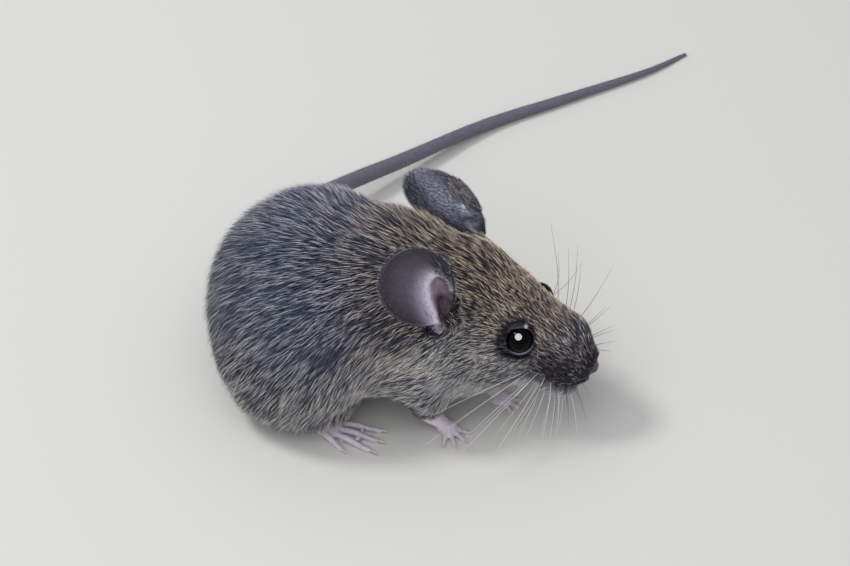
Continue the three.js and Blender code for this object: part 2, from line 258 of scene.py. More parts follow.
def with_modifier(thing, kind, **settings):
    """Gives thing the mesh that a modifier makes of it."""
    modifier = thing.modifiers.new("step", kind)
    for name, value in settings.items():
        setattr(modifier, name, value)
    evaluated = thing.evaluated_get(bpy.context.evaluated_depsgraph_get())
    made = bpy.data.meshes.new_from_object(evaluated)
    thing.modifiers.clear()
    old, thing.data = thing.data, made
    bpy.data.meshes.remove(old)
    return thing


def dress(thing, material):
    """Gives thing its one material, and shades it smooth."""
    mesh = thing.data
    mesh.materials.clear()
    mesh.materials.append(material)
    mesh.polygons.foreach_set("use_smooth", np.ones(len(mesh.polygons), bool))


def new_mesh(name, spots, faces):
    """A mesh from points in the body's frame, in millimetres, with its faces turned outwards."""
    mesh = bpy.data.meshes.new(name)
    mesh.from_pydata((np.asarray(spots) + ORIGIN) * MM, [], [list(face) for face in faces])
    turned = bmesh.new()
    turned.from_mesh(mesh)
    bmesh.ops.recalc_face_normals(turned, faces=turned.faces)
    turned.to_mesh(mesh)
    turned.free()
    return mesh


# %% [markdown]
# ## Helpers for points
# Soft marks along a line, and the nearest of many points, are wanted again and again: for the relief
# of the ears, for the markings, and for the tags of the bare parts.


# %% Helpers for points
def near_line(spots, line, width):
    """1 on a line of points, falling smoothly to 0 over about twice the width."""
    line = np.asarray(line, float)
    nearest = np.full(len(spots), np.inf)
    for start, end in zip(line, line[1:]):
        run = end - start
        share = np.clip((spots - start) @ run / (run @ run), 0, 1)
        nearest = np.minimum(nearest, np.linalg.norm(spots - start - share[:, None] * run, axis=1))
    return np.exp(-((nearest / width) ** 2))


def tree_of(targets):
    """A tree that finds the nearest of many points quickly."""
    tree = KDTree(len(targets))
    for index, target in enumerate(targets):
        tree.insert(target, index)
    tree.balance()
    return tree


def nearest_of(targets, spots):
    """Which target is nearest to each spot, and how far away it is."""
    tree = tree_of(targets)
    indices, distances = zip(*(tree.find(spot)[1:] for spot in spots))
    return np.array(indices), np.array(distances)


# %% [markdown]
# ## Rods and eggs
# Legs, toes, tail and whiskers are round rods that bend and taper, so each is a tube along a smooth
# path. Palms and pads are flattened balls, which are short tubes too.


# %% Paths and tubes
def smooth_path(points, count):
    """Evenly spaced points on a smooth curve through the given ones."""
    points = np.array(points, float)
    padded = np.vstack([2 * points[0] - points[1], points, 2 * points[-1] - points[-2]])
    share = np.linspace(0, 1, 24, endpoint=False)[:, None]
    runs = []
    for a, b, c, d in zip(padded, padded[1:], padded[2:], padded[3:]):
        bend = (2 * a - 5 * b + 4 * c - d) * share**2 + (3 * b - a - 3 * c + d) * share**3
        runs.append((2 * b + (c - a) * share + bend) / 2)
    dense = np.vstack(runs + [points[-1:]])
    reached = np.concatenate([[0], np.cumsum(np.linalg.norm(np.diff(dense, axis=0), axis=1))])
    wanted = np.linspace(0, reached[-1], count)
    return np.column_stack([np.interp(wanted, reached, dense[:, axis]) for axis in range(3)])


def tube(path, radii, sides=16, height=1.0, above=(0, 0, 1)):
    """Points and faces of a closed tube; height is its depth over its width."""
    ahead = unit(np.gradient(path, axis=0))
    side = unit(np.cross(above, ahead))
    top = np.cross(ahead, side)
    turn = np.linspace(0, 2 * np.pi, sides, endpoint=False)[None, :, None]
    radii = np.broadcast_to(radii, len(path))[:, None, None]
    rings = path[:, None] + radii * (np.cos(turn) * side[:, None] + height * np.sin(turn) * top[:, None])
    start, end = path[0] - ahead[0] * radii[0, 0, 0] * 0.5, path[-1] + ahead[-1] * radii[-1, 0, 0] * 0.5
    spots = np.vstack([rings.reshape(-1, 3), start, end])
    ring, step = np.meshgrid(np.arange(len(path) - 1), np.arange(sides), indexing="ij")
    here, beside = ring * sides + step, ring * sides + (step + 1) % sides
    quads = np.stack([here, beside, beside + sides, here + sides], axis=-1)
    faces = [list(face) for face in quads.reshape(-1, 4)]
    last = (len(path) - 1) * sides
    for step in range(sides):
        beside = (step + 1) % sides
        faces.append([beside, step, len(spots) - 2])
        faces.append([last + step, last + beside, len(spots) - 1])
    return spots, faces


def egg(middle, radii, sides=20):
    """Points and faces of an ellipsoid lying in the body's frame."""
    turn = np.linspace(0, np.pi, sides)[1:-1]
    path = np.column_stack([-np.cos(turn) * radii[0], 0 * turn, 0 * turn]) + middle
    spots, faces = tube(path, np.sin(turn), sides)
    spots[:-2] = np.array(middle) + (spots[:-2] - middle) * [1, radii[1], radii[2]]
    spots[-2:] = np.array(middle) + np.array([[-radii[0], 0, 0], [radii[0], 0, 0]])
    return spots, faces


def merge(parts):
    spots, faces, count = [], [], 0
    for part_spots, part_faces in parts:
        spots.append(part_spots)
        faces += [[corner + count for corner in face] for face in part_faces]
        count += len(part_spots)
    return np.vstack(spots), faces


# %% [markdown]
# ## Toes
# A toe is humped at the knuckle, thins towards its end, and rests on a round pad. The claw leaves it
# above the pad. Its place is noted here, and the horn is made later.

# %% One digit
claw_places = []


def digit(base, heading, length, thick):
    """A toe or finger from base to the tip of its claw: its knuckles, its end pad and its claw."""
    ahead = np.array([math.cos(math.radians(heading)), math.sin(math.radians(heading)), 0])

    def spot(share, height):
        return np.array([base[0], base[1], 0]) + ahead * share * length + [0, 0, height]

    bends = [(0, 1.5), (0.3, 1.75), (0.62, 0.95), (0.86, 0.72)]
    rise = smooth_path([spot(share, thick * height) for share, height in bends], 26)
    share = np.linspace(0, 1, 26)
    knuckles = 0.1 * np.exp(-(((share - 0.42) / 0.1) ** 2)) + 0.12 * np.exp(-(((share - 0.95) / 0.09) ** 2))
    radii = thick * (1.04 - 0.34 * share + knuckles - 0.05 * np.exp(-(((share - 0.75) / 0.1) ** 2)))
    radii[-3:] *= [0.93, 0.8, 0.55]
    pad = egg(spot(0.8, thick * 0.5), (thick * 0.85, thick * 0.72, thick * 0.48), 12)
    claw_places.append((spot(0.82, thick * 0.95), spot(0.91, thick * 1.0), spot(1.0, 0.1), thick))
    return [tube(rise, radii, 14), pad], rise


# %% [markdown]
# ## Feet
# A foot is a few round rods of flesh, so each is a bundle of tubes: a sole or palm, the digits, and a
# shank that runs up into the leg. A fine voxel remesh melts them together, which leaves small webs
# between the toes as on the animal.


# %% Feet
HIND_FOOT_LENGTH = 19.4
FOOT_VOXEL = 0.175


def fore_foot(palm, heading, spread, wrist):
    """Four fingers fan out of a small palm, and the forearm runs up into the body."""
    middle = np.array([palm[0], palm[1], 0.95])
    forearm = smooth_path(wrist, 20)
    parts = [egg(middle, (1.6, 1.5, 0.95)), tube(forearm, np.linspace(1.0, 2.1, 20), 18, above=(1, 0, 0))]
    lines = [forearm]
    for place in (-1.5, -0.5, 0.5, 1.5):
        pieces, line = digit(palm, heading + place * spread, 4.4 - 0.35 * abs(place), 0.45)
        parts += pieces
        lines.append(line)
    for place in (-0.8, 0.0, 0.8):
        angle = math.radians(heading) + place
        below = [math.cos(angle) * 0.9, math.sin(angle) * 0.9, -0.62]
        parts.append(egg(middle + below, (0.42, 0.42, 0.33), 10))
    return parts, lines


def hind_foot(heel, heading, side):
    """A long narrow sole with five toes, the middle three longest, and a shank that runs into the leg."""
    ahead = np.array([math.cos(math.radians(heading)), math.sin(math.radians(heading)), 0])
    outwards = np.array([-ahead[1], ahead[0], 0]) * side

    def spot(length, outward, height):
        return np.array([heel[0], heel[1], 0]) + ahead * length + outwards * outward + [0, 0, height]

    sole = smooth_path([spot(0, 0, 1.15), spot(6.2, 0, 1.05), spot(12.8, 0, 0.85)], 30)
    share = np.linspace(0, 1, 30)
    round_ends = np.sqrt(1 - (2 * share - 1) ** 8 * 0.75)
    radii = (1.25 + 0.6 * share) * round_ends * (1 - 0.1 * np.sin(np.pi * share))
    shank = smooth_path([spot(0.2, 0, 1.1), spot(-0.4, 0, 3.0), spot(1.8, 0, 5.6), spot(5.0, 0.2, 8.5)], 20)
    parts = [tube(sole, radii, 20, 0.62), tube(shank, np.linspace(1.05, 2.6, 20), 18, above=(1, 0, 0))]
    lines = [sole]
    toes = [
        (9.1, -1.1, -24, 4.5), (11.7, -1.1, -9, 8.1), (11.9, 0, 0, 8.7),
        (11.5, 1.1, 10, 8.3), (9.6, 1.2, 27, 6.1),
    ]
    for length, outward, splay, reach in toes:
        reach = min(reach, HIND_FOOT_LENGTH - length + 0.6)
        pieces, line = digit(spot(length, outward, 0), heading + side * splay, reach, 0.52)
        parts += pieces
        lines.append(line)
    for length, outward in ((8.6, -1.1), (11.2, -1.2), (12.6, 0), (11.0, 1.2), (8.3, 1.2), (5.2, 0.5)):
        parts.append(egg(spot(length, outward, 0.38), (0.6, 0.5, 0.37), 10))
    return parts, lines


RIGHT_FOREARM = [(21.9, -6.3, 1.1), (20.6, -6.5, 2.4), (19, -6.9, 4.2), (17, -7.4, 8)]
LEFT_FOREARM = [(27.9, 1.7, 1.1), (26.6, 2.3, 2.4), (24.5, 3.4, 4.6), (21.5, 5.6, 8.5)]
foot_parts = {
    "forefoot_right": fore_foot((22, -6.3), -42, 29, RIGHT_FOREARM),
    "forefoot_left": fore_foot((28, 1.6), -2, 24, LEFT_FOREARM),
    "hindfoot_right": hind_foot((-6, -9.3), -6, -1),
    "hindfoot_left": hind_foot((-5, 9.6), 7, 1),
}
feet, foot_lines = [], []
for name, (parts, lines) in foot_parts.items():
    foot = object_of(name + "_form", new_mesh(name + "_form", *merge(parts)))
    with_modifier(foot, "REMESH", mode="VOXEL", voxel_size=FOOT_VOXEL * MM)
    with_modifier(foot, "SMOOTH", factor=0.5, iterations=3)
    feet.append(foot)
    foot_lines += lines
print("feet:", {foot.name: len(foot.data.polygons) for foot in feet})

# %% [markdown]
# ## Skin, first the flesh
# On the animal one skin runs over every part. The solids are parted by thin cuts, so copies of them
# are swollen a little until the cuts close, joined, and wrapped afresh by a voxel remesh. The result
# is the outline of the coat. Pushed inwards by the depth of the fur it becomes the skin.


# %% One closed form from the solids
SWELL = 0.25
OUTLINE_VOXEL, CORE_VOXEL = 0.45, 0.4
FLESH = ["head", "nose", "lower_jaw", "neck", "breast", "trunk"]
PAIRED = ("eye", "foreleg", "hindleg", "forefoot", "hindfoot")
FLESH += [part + side for part in PAIRED for side in ("_right", "_left")]
joined = bmesh.new()
for node in FLESH:
    part = bmesh.new()
    part.from_mesh(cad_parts[node].data)
    bmesh.ops.remove_doubles(part, verts=part.verts, dist=1e-7)
    part.normal_update()
    for vertex in part.verts:
        vertex.co += vertex.normal * SWELL * MM
    swollen = bpy.data.meshes.new(node)
    part.to_mesh(swollen)
    part.free()
    joined.from_mesh(swollen)
    bpy.data.meshes.remove(swollen)
outline_mesh = bpy.data.meshes.new("outline")
joined.to_mesh(outline_mesh)
joined.free()
outline = object_of("outline", outline_mesh)
with_modifier(outline, "REMESH", mode="VOXEL", voxel_size=OUTLINE_VOXEL * MM)
with_modifier(outline, "SMOOTH", factor=0.5, iterations=14)
print("outline of the coat:", len(outline.data.polygons), "faces")

# %% [markdown]
# ## Skin, the depth of the coat
# A wood mouse's fur is deepest on the back and rump and shortest on the muzzle and legs. The depth
# here is a smooth function of place, so the same function later tells each tuft how high to stand.


# %% Depth of the coat
THINNEST_COAT = 0.4
foot_line_points = np.vstack([line[::3] for line in foot_lines])
ear_roots = [from_head(-11.0, -8.4, -1.6), from_head(-10.3, 8.4, -3.4)]
tail_start = [(-15.6, 5, 9.4), (-16.5, 8, 9), (-17, 11, 8.6), (-16.8, 14, 8.2), (-16, 18, 7.8)]


def distance_to(targets, spots):
    """Distance from each spot to the nearest target."""
    nearest = np.full(len(spots), np.inf)
    for target in targets:
        nearest = np.minimum(nearest, ((spots - target) ** 2).sum(axis=1))
    return np.sqrt(nearest)


def coat_depth(spots):
    """Depth of the coat in millimetres at points of the body's frame."""
    spots = np.asarray(spots)
    place = to_head(spots)
    on_head = np.interp(
        place[:, 0], [-20, -12, -4, 2, 6, 10, 12.5], [2.6, 1.8, 1.15, 0.9, 0.85, 0.75, 0.65]
    )
    under_chin = smooth(-place[:, 2], 3, 8) * smooth(-place[:, 0], -8, 0)
    on_head = on_head * (1 + 0.35 * under_chin)
    on_trunk = np.interp(spots[:, 0], [-17, 0, 15, 22], [3.3, 3.1, 2.7, 2.3])
    on_trunk = on_trunk * (0.62 + 0.38 * smooth(spots[:, 2], 0, 9))
    is_head = smooth(place[:, 0], -20, -11) * smooth(spots[:, 0], 12, 22)
    depth = on_head * is_head + on_trunk * (1 - is_head)
    off_foot = smooth(distance_to(foot_line_points, spots), 1.9, 4.4)
    off_ears = smooth(distance_to(ear_roots, spots), 1.5, 5.5)
    off_tail = smooth(distance_to(tail_start, spots), 1.9, 4.5)
    depth = (depth - THINNEST_COAT) * off_foot * (0.25 + 0.75 * off_ears) * (0.2 + 0.8 * off_tail)
    return THINNEST_COAT + depth


spots, normals = mesh_arrays(outline.data)
spots = spots / MM - ORIGIN
spots = spots - normals * (coat_depth(spots) + SWELL)[:, None]
spots[:, 2] = np.maximum(spots[:, 2], 0.3)
move_vertices(outline.data, (spots + ORIGIN) * MM)
core = outline
core.name = "skin"
with_modifier(core, "REMESH", mode="VOXEL", voxel_size=CORE_VOXEL * MM)
with_modifier(core, "SMOOTH", factor=0.5, iterations=6)
print("flesh under the coat:", len(core.data.polygons), "faces")

# %% [markdown]
# ## Ears
# An ear is a thin cup of skin, nearly bare. A round sheet is rolled like a scoop. Near its root a ridge
# arches over the pit that leads to the ear's canal, with a slit in it that is painted dark as shade, and a
# small flap before it.
# All of them are pressed into the sheet as relief along a few lines.


# %% Ears
EAR_LENGTH, EAR_WIDTH = 15.0, 12.2
EAR_GRID = 60
EARS = {
    "right": dict(
        root=from_head(-11.5, -9.6, -1.3), reach=(-0.5, -0.14, 0.855), opening=(0.63, -0.72, 0.28)
    ),
    "left": dict(
        root=from_head(-10.7, 9.6, -3.3), reach=(-0.82, 0.22, 0.53), opening=(0.25, 0.96, -0.06)
    ),
}
# Lines on the flat sheet: distance up from the ear's root, distance towards its front edge.
ARCH = [
    (-0.2, -1.5), (1.6, -0.7), (4.0, 0.1), (5.6, 0.9), (6.6, 1.7),
    (7.2, 3.0), (6.6, 4.0), (5.0, 4.1), (3.6, 3.8),
]
PIT = [(5.5, 2.8), (4.2, 2.3), (2.6, 1.4)]
SLIT = [(-0.4, -0.5), (1.2, 0.5), (2.6, 1.5)]
TRAGUS = [(4.1, 2.2), (2.6, 2.7), (0.8, 3.2)]


def ear_axes(root, reach, opening):
    along = unit(reach)
    facing = unit(np.array(opening) - np.dot(opening, along) * along)
    return np.array(root), along, facing, np.cross(along, facing)


def cup_of_ear(ear, length, width):
    root, along, facing, across = ear
    roll = 5.2 + (1.5 - 5.2) * np.sqrt(np.clip(length, 0, None) / EAR_LENGTH)
    bulge = roll * (width / (EAR_WIDTH / 2)) ** 2 - 0.9 * np.sin(np.pi * length / EAR_LENGTH)
    return root + length[:, None] * along + width[:, None] * across + bulge[:, None] * facing


# %% [markdown]
# ## The sheet of an ear
# The sheet is a round grid of points, closer together near the rim. It is thick at the root and thin
# at the rim. The relief stands on its inner face, and the outer face follows only the hollows.


# %% The sheet of an ear
def ear_sheet(side):
    """Points, faces and the tags of one ear."""
    ear = ear_axes(**EARS[side])
    ticks = np.sin(np.linspace(-1, 1, EAR_GRID) * np.pi / 2 * 0.92) / np.sin(np.pi / 2 * 0.92)
    tall, wide = (grid.ravel() for grid in np.meshgrid(ticks, ticks, indexing="ij"))
    to_tip, to_edge = tall * np.sqrt(1 - wide**2 / 2), wide * np.sqrt(1 - tall**2 / 2)
    share = np.hypot(to_tip, to_edge)
    length = EAR_LENGTH / 2 * (1 + to_tip)
    width = EAR_WIDTH / 2 * to_edge * (1 - 0.34 * ((1 - to_tip) / 2) ** 1.6)
    middle = cup_of_ear(ear, length, width)
    nudge = 0.01
    to_side = cup_of_ear(ear, length, width + nudge) - middle
    to_end = cup_of_ear(ear, length + nudge, width) - middle
    inwards = unit(np.cross(to_side, to_end))
    front = np.column_stack([length, -SIDES[side] * width])
    left_limb, right_limb = near_line(front, ARCH[:6], 0.8), near_line(front, ARCH[5:], 0.4)
    arch = np.maximum(left_limb, 0.7 * right_limb)
    pit, slit = near_line(front, PIT, 0.95), near_line(front, SLIT, 0.55)
    tragus = near_line(front, TRAGUS, 0.55)
    pleats = np.sin(front[:, 0] * 12 + 0.5 * front[:, 1]) * near_line(front, ARCH[:3], 0.9)
    folds = np.sin(length * 2.3 + 0.35 * width**2)
    folds = folds * smooth(-front[:, 1], -0.5, 2) * smooth(1 - share, 0.1, 0.4)
    relief = 0.42 * arch * (1 - slit) - 0.8 * pit - 0.5 * slit + 0.75 * tragus
    relief = relief + 0.03 * pleats + 0.03 * folds
    relief += 0.16 * near_line(share[:, None], [[0.965], [0.97]], 0.03)
    thick = (0.62 - 0.3 * smooth(share, 0.1, 0.75)) * (1 - 0.72 * smooth(share, 0.955, 1.0) ** 2)
    inner = middle + inwards * (relief + thick / 2)[:, None]
    outer = middle + inwards * (np.minimum(relief, 0) - thick / 2)[:, None]
    count = EAR_GRID
    cell = np.arange(count * count).reshape(count, count)
    quads = np.stack([cell[:-1, :-1], cell[1:, :-1], cell[1:, 1:], cell[:-1, 1:]], axis=-1).reshape(-1, 4)
    border = np.concatenate([cell[:-1, 0], cell[-1, :-1], cell[:0:-1, -1], cell[0, :0:-1]])
    edge = np.column_stack([border, np.roll(border, -1), np.roll(border, -1) + count**2, border + count**2])
    faces = np.vstack([quads, quads[:, ::-1] + count**2, edge])
    tags = {
        "share": share,
        "long": front[:, 0],
        "front": front[:, 1],
        "arch": np.clip(arch * (1 - slit) * (1 + 0.2 * pleats), 0, 1),
        # Where the skin beside the ridge is painted paler, as painted light.
        "painted_glow": near_line(front - [0.3, -0.7], ARCH[:6], 1.6) * (1 - np.clip(pit + slit, 0, 1)),
        "pit": np.clip(pit * 0.9, 0, 1) * (1 - 0.8 * tragus),
        "slit": slit,
    }
    return inner, outer, faces, tags


ear_meshes, ear_tags, ear_walls = {}, {}, {}
for side in SIDES:
    inner, outer, faces, tags = ear_sheet(side)
    ear_meshes[side] = new_mesh("ear_" + side, np.vstack([inner, outer]), faces)
    ear_tags[side] = (np.vstack([inner, outer]), tags)
    ear_walls[side] = BVHTree.FromPolygons(np.vstack([inner, outer]).tolist(), faces.tolist())
print("each ear has", len(ear_meshes["right"].polygons), "faces")

# %% [markdown]
# ## Tail
# The tail is as long as the head and body, thin, ringed with tiny scales and almost bare. It is one
# tapering tube along a smooth path, from inside the rump round the left flank and away forwards.

# %% Tail
TAIL = [
    (-13, 2, 10), (-16.5, 8, 9), (-16.5, 16, 8), (-12.5, 26, 6.7), (-4.8, 36.8, 5),
    (2.2, 46, 3.2), (12.1, 58.6, 1.3), (23, 68, 0.95), (33.6, 77, 0.7), (39, 83.2, 0.27),
]
TAIL_STEPS, TAIL_LENGTH = 230, 103.9
ROOT_RADIUS, END_RADIUS = 1.75, 0.27
tail_line = smooth_path(TAIL, TAIL_STEPS)
tail_radii = END_RADIUS + (ROOT_RADIUS - END_RADIUS) * (1 - np.linspace(0, 1, TAIL_STEPS)) ** 0.75
tail_mesh = new_mesh("tail", *tube(tail_line, tail_radii - 0.03, 22))
print("tail:", round(np.linalg.norm(np.diff(tail_line, axis=0), axis=1).sum(), 1), "mm long")

# %% [markdown]
# ## Lids
# The eye stands half out of the head. A soft rolled lid rings it and slopes down under the coat, with
# a small fold at each corner. The upper lid hangs a little over the ball like a hood, and carries a
# small swelling. Each lid is one profile carried round the eye, so the hood and folds are shifts of it.

# %% Lids
EYE_RADIUS = 2.17
# Angles round the eye, in radians: 0 is straight back, and a quarter turn is straight down.
REAR_CORNER, SWELLING = 0.7, -1.31


def from_angle(angle, middle):
    """How far an angle is from another, from minus half a turn to plus half a turn."""
    return (angle - middle + np.pi) % (2 * np.pi) - np.pi


def hooded(flat, height, angle, way):
    """Turns the upper lid down over the ball when way is 1, and back up when it is -1."""
    reach = np.hypot(flat, height)
    bend = 0.26 * np.exp(-((from_angle(angle, -0.87) / 0.8) ** 2)) * (1 - smooth(reach, 2.4, 2.9))
    polar = np.arctan2(flat, height) - way * bend
    return reach * np.sin(polar), reach * np.cos(polar)


lid_meshes, eye_frames = {}, {}
for side, sign in SIDES.items():
    middle = eye_middles[side] - ORIGIN
    axis = unit(np.array([0.05, 0.8 * sign, 0.6]) @ HEAD_AXES)
    back = unit(-HEAD_AHEAD + np.dot(HEAD_AHEAD, axis) * axis)
    down = np.cross(axis, back) * -sign
    eye_frames[side] = (middle, axis, back, down)
    profile = np.array(
        [(1.55, -1.5), (1.95, -0.7), (2.11, 0.1), (2.1, 0.42), (2.14, 0.58), (2.24, 0.66), (2.38, 0.58),
         (2.46, 0.4), (2.54, 0.26), (2.74, 0.22), (3.0, 0.05), (3.4, -0.6), (3.7, -1.5), (2.8, -2.6)]
    )
    steps = 72
    turn = np.linspace(0, 2 * np.pi, steps, endpoint=False)
    rear = np.exp(-((from_angle(turn, REAR_CORNER) / 0.3) ** 2))
    front = np.exp(-((from_angle(turn, REAR_CORNER + np.pi) / 0.3) ** 2))
    swelling_and_glint = np.exp(-((from_angle(turn, SWELLING) / 0.16) ** 2))
    rows = []
    for radius, height in profile:
        edge = smooth(radius, 2.0, 2.15)
        outer = smooth(radius, 2.3, 2.6)
        waves = 0.6 * rear + 0.06 * np.sin(5 * turn + 1)
        wide = radius + edge * (0.22 * rear + 0.2 * front) + outer * waves
        high = height - 0.12 * edge * (rear + front) + 0.26 * swelling_and_glint * outer + 0.05 * outer * np.sin(3 * turn)
        wide, high = hooded(wide, high, turn, 1)
        ring = middle + wide[:, None] * (np.cos(turn)[:, None] * back + np.sin(turn)[:, None] * down)
        rows.append(ring + high[:, None] * axis)
    spots = np.vstack(rows)
    grids = np.meshgrid(np.arange(len(profile)), np.arange(steps), indexing="ij")
    ring, step = (grid.ravel() for grid in grids)
    after, beside = (ring + 1) % len(profile) * steps, (step + 1) % steps
    faces = np.column_stack([ring * steps + step, ring * steps + beside, after + beside, after + step])
    lid_meshes[side] = new_mesh("lid_" + side, spots, faces)
print("each lid:", len(lid_meshes["right"].polygons), "faces")

# %% [markdown]
# ## Nose pad
# The pad is bare and moist, with a comma-shaped nostril each side and a groove between. It is a ball
# that is pressed in along the nostrils and the groove, and swells a little at the wings of the nose.

# %% Nose pad
NOSE_MIDDLE, NOSE_SIZE = np.array([11.95, 0, -0.15]), np.array([1.3, 1.3, 1.2])
NOSTRIL = [(0.34, -0.05, 0.94), (0.56, -0.06, 0.82), (0.74, 0.1, 0.66), (0.86, 0.28, 0.42)]
NOSE_WING = [(0.5, 0.32, 0.8), (0.75, 0.45, 0.48)]
count, rows = 72, 42
around = np.linspace(0, 2 * np.pi, count, endpoint=False)
turn, tilt = np.meshgrid(around, np.linspace(0, np.pi, rows + 2)[1:-1], indexing="ij")
ahead = np.cos(tilt).ravel()
across = (np.sin(tilt) * np.cos(turn)).ravel()
up = (np.sin(tilt) * np.sin(turn)).ravel()
swell = np.ones_like(ahead)
for sign in (-1, 1):
    on_ball = np.column_stack([across * sign, up, ahead])
    swell -= 0.42 * near_line(on_ball, NOSTRIL, 0.17)
    swell += 0.07 * near_line(on_ball, NOSE_WING, 0.22)
swell -= 0.13 * np.exp(-((across / 0.1) ** 2)) * smooth(ahead, 0.1, 0.7) * smooth(-up, -0.6, 0.1)
pad = NOSE_MIDDLE + np.column_stack([ahead, across, up]) * swell[:, None] * NOSE_SIZE
poles = NOSE_MIDDLE + np.array([[0.93, 0, 0], [-1.0, 0, 0]]) * NOSE_SIZE
cell = np.arange(count * rows).reshape(count, rows)
after = np.roll(cell, -1, axis=0)
quads = np.stack([cell[:, :-1], after[:, :-1], after[:, 1:], cell[:, 1:]], axis=-1).reshape(-1, 4)
caps = [[cell[step, 0], after[step, 0], cell.size] for step in range(count)]
caps += [[cell[step, -1], after[step, -1], cell.size + 1] for step in range(count)]
spots = BETWEEN_EYES + np.vstack([pad, poles]) @ HEAD_AXES
nose_mesh = new_mesh("nose", spots, [list(quad) for quad in quads] + caps)
print("nose pad:", len(nose_mesh.polygons), "faces")

# %% [markdown]
# ## One skin
# Boolean unions join the flesh, ears, lids, nose, feet and tail into one closed skin, which is what an
# animal has. Each ear stands on a stem, with a lobe behind its opening and a small flap before it, the
# tragus. Only the skin round the lobes is smoothed, where a sharp crease would look cut.


# %% Join
def only_largest(mesh):
    """Drops crumbs that a remesh may leave beside the main form."""
    shape = bmesh.new()
    shape.from_mesh(mesh)
    unseen, islands = set(shape.verts), []
    while unseen:
        island, edge = [], [unseen.pop()]
        while edge:
            vertex = edge.pop()
            island.append(vertex)
            near = [other for link in vertex.link_edges for other in link.verts if other in unseen]
            unseen.difference_update(near)
            edge += set(near)
        islands.append(island)
    islands.sort(key=len)
    bmesh.ops.delete(shape, geom=[vertex for island in islands[:-1] for vertex in island], context="VERTS")
    shape.to_mesh(mesh)
    shape.free()
    return [len(island) for island in islands[:-1]]


ear_bases, lobe_ends = {}, []
for side, sign in SIDES.items():
    root, along, facing, across = ear_axes(**EARS[side])
    ear_frame = np.array([along, -sign * across, facing])
    inside = [from_head(-9, sign * 4.0, -3.5), from_head(-10.5, sign * 6.6, -2.9)]
    behind = smooth_path(inside + [root + np.array([1.6, 0.3, -2.45]) @ ear_frame], 16)
    before_ear = {"right": (1.2, 2.7, -0.9), "left": (0.5, 1.6, -1.9)}[side]
    before = smooth_path(inside + [root + np.array(before_ear) @ ear_frame], 16)
    ear_bases["stem_" + side] = new_mesh("stem_" + side, *tube(behind, np.linspace(3.4, 1.65, 16), 24))
    lobe = smooth_path(inside + [root + np.array([-0.3, -2.0, 0.3]) @ ear_frame], 16)
    lobe_ends.append(lobe[-1])
    ear_bases["lobe_" + side] = new_mesh("lobe_" + side, *tube(lobe, np.linspace(2.6, 1.1, 16), 24))
    ear_bases["tragus_" + side] = new_mesh("tragus_" + side, *tube(before, np.linspace(2.8, 0.9, 16), 24))
forms = [*lid_meshes.values(), nose_mesh, tail_mesh, *ear_bases.values(), *ear_meshes.values()]
for part in feet + [object_of(mesh.name + "_form", mesh) for mesh in forms]:
    with_modifier(core, "BOOLEAN", operation="UNION", object=part, solver="MANIFOLD")
    bpy.data.objects.remove(part)
skin = core
print("crumbs dropped:", only_largest(skin.data))
spots = mesh_arrays(skin.data)[0] / MM - ORIGIN
near_lobe = 1 - smooth(distance_to(lobe_ends, spots), 1.5, 2.3)
creases = skin.vertex_groups.new(name="creases")
for index in np.flatnonzero(near_lobe > 0.01):
    creases.add([int(index)], float(near_lobe[index]), "REPLACE")
with_modifier(skin, "SMOOTH", factor=0.5, iterations=12, vertex_group="creases")
print("one skin:", len(skin.data.polygons), "faces")

# %% [markdown]
# ## Markings
# The same few soft-edged masks colour the skin and every tuft. The back and rump are slate, the head
# and neck brown, the low flanks and cheeks grey, the underside pale, and the rings of the eyes and the
# beds of the whiskers dark. Each mask is a function of place on the body, stored on the points as an
# attribute.


# %% Markings
PARTING = [(8.2, -11.5, 22.0), (6.1, -12.8, 20.9), (4.5, -13.6, 19.6)]


def markings(spots):
    """How much each marking shows at points of the body's frame, from 0 to 1."""
    spots = np.asarray(spots)
    place = to_head(spots)
    sway = 0.8 * np.sin(0.55 * spots[:, 0] + 1.3 * np.sin(0.4 * spots[:, 1]))
    sway = sway + 0.5 * np.sin(1.1 * spots[:, 2])
    slate = 1 - smooth(spots[:, 0] + 0.35 * (spots[:, 2] - 18) + sway, 2, 24)
    slate = np.maximum(slate, near_line(spots, PARTING, 1.1))
    belly_height = np.interp(spots[:, 0], [-20, -8, 6, 18, 26], [2.0, 2.4, 2.6, 2.8, 4.5])
    pale = 1 - smooth(spots[:, 2] + 0.3 * sway, belly_height - 2.0, belly_height + 2.6)
    jaw_height = np.interp(place[:, 0], [-10, 0, 6, 10], [-10.4, -9.6, -6.6, -4.6])
    on_jaw = 1 - smooth(place[:, 2] + 0.2 * sway, jaw_height - 0.8, jaw_height + 2.0)
    on_head = smooth(place[:, 0], -9, -3) * smooth(place[:, 2], -12.5, -10)
    pale = pale * (1 - on_head) + on_jaw * on_head
    low_flank = 1 - smooth(spots[:, 2] + sway, 11, 26)
    cheek = (1 - smooth(place[:, 2] + 0.3 * sway, -4.5, 2.5)) * smooth(place[:, 0], -20, -8)
    grey = np.maximum(low_flank * (1 - on_head), cheek) * (1 - 0.6 * smooth(place[:, 0], 6, 10))
    grey = np.maximum(grey, 0.45 * smooth(place[:, 0], 2, 8))
    eyes = np.minimum(*(np.linalg.norm(spots - middle, axis=1) for middle, *_ in eye_frames.values()))
    side = np.abs(place[:, 1])
    beds = -(((place[:, 0] - 8.0) / 3.0) ** 2) - ((side - 3.6) / 2.4) ** 2
    beds = np.exp(beds - ((place[:, 2] + 1.1) / 2.3) ** 2)
    snout = smooth(place[:, 0], 9.0, 12.0) * 0.5
    dusk = np.maximum.reduce([0.9 - 0.9 * smooth(eyes, 2.4, 3.2), 1.2 * beds, snout])
    return {"slate": slate, "pale": pale, "grey": grey, "dusk": np.clip(dusk, 0, 1)}
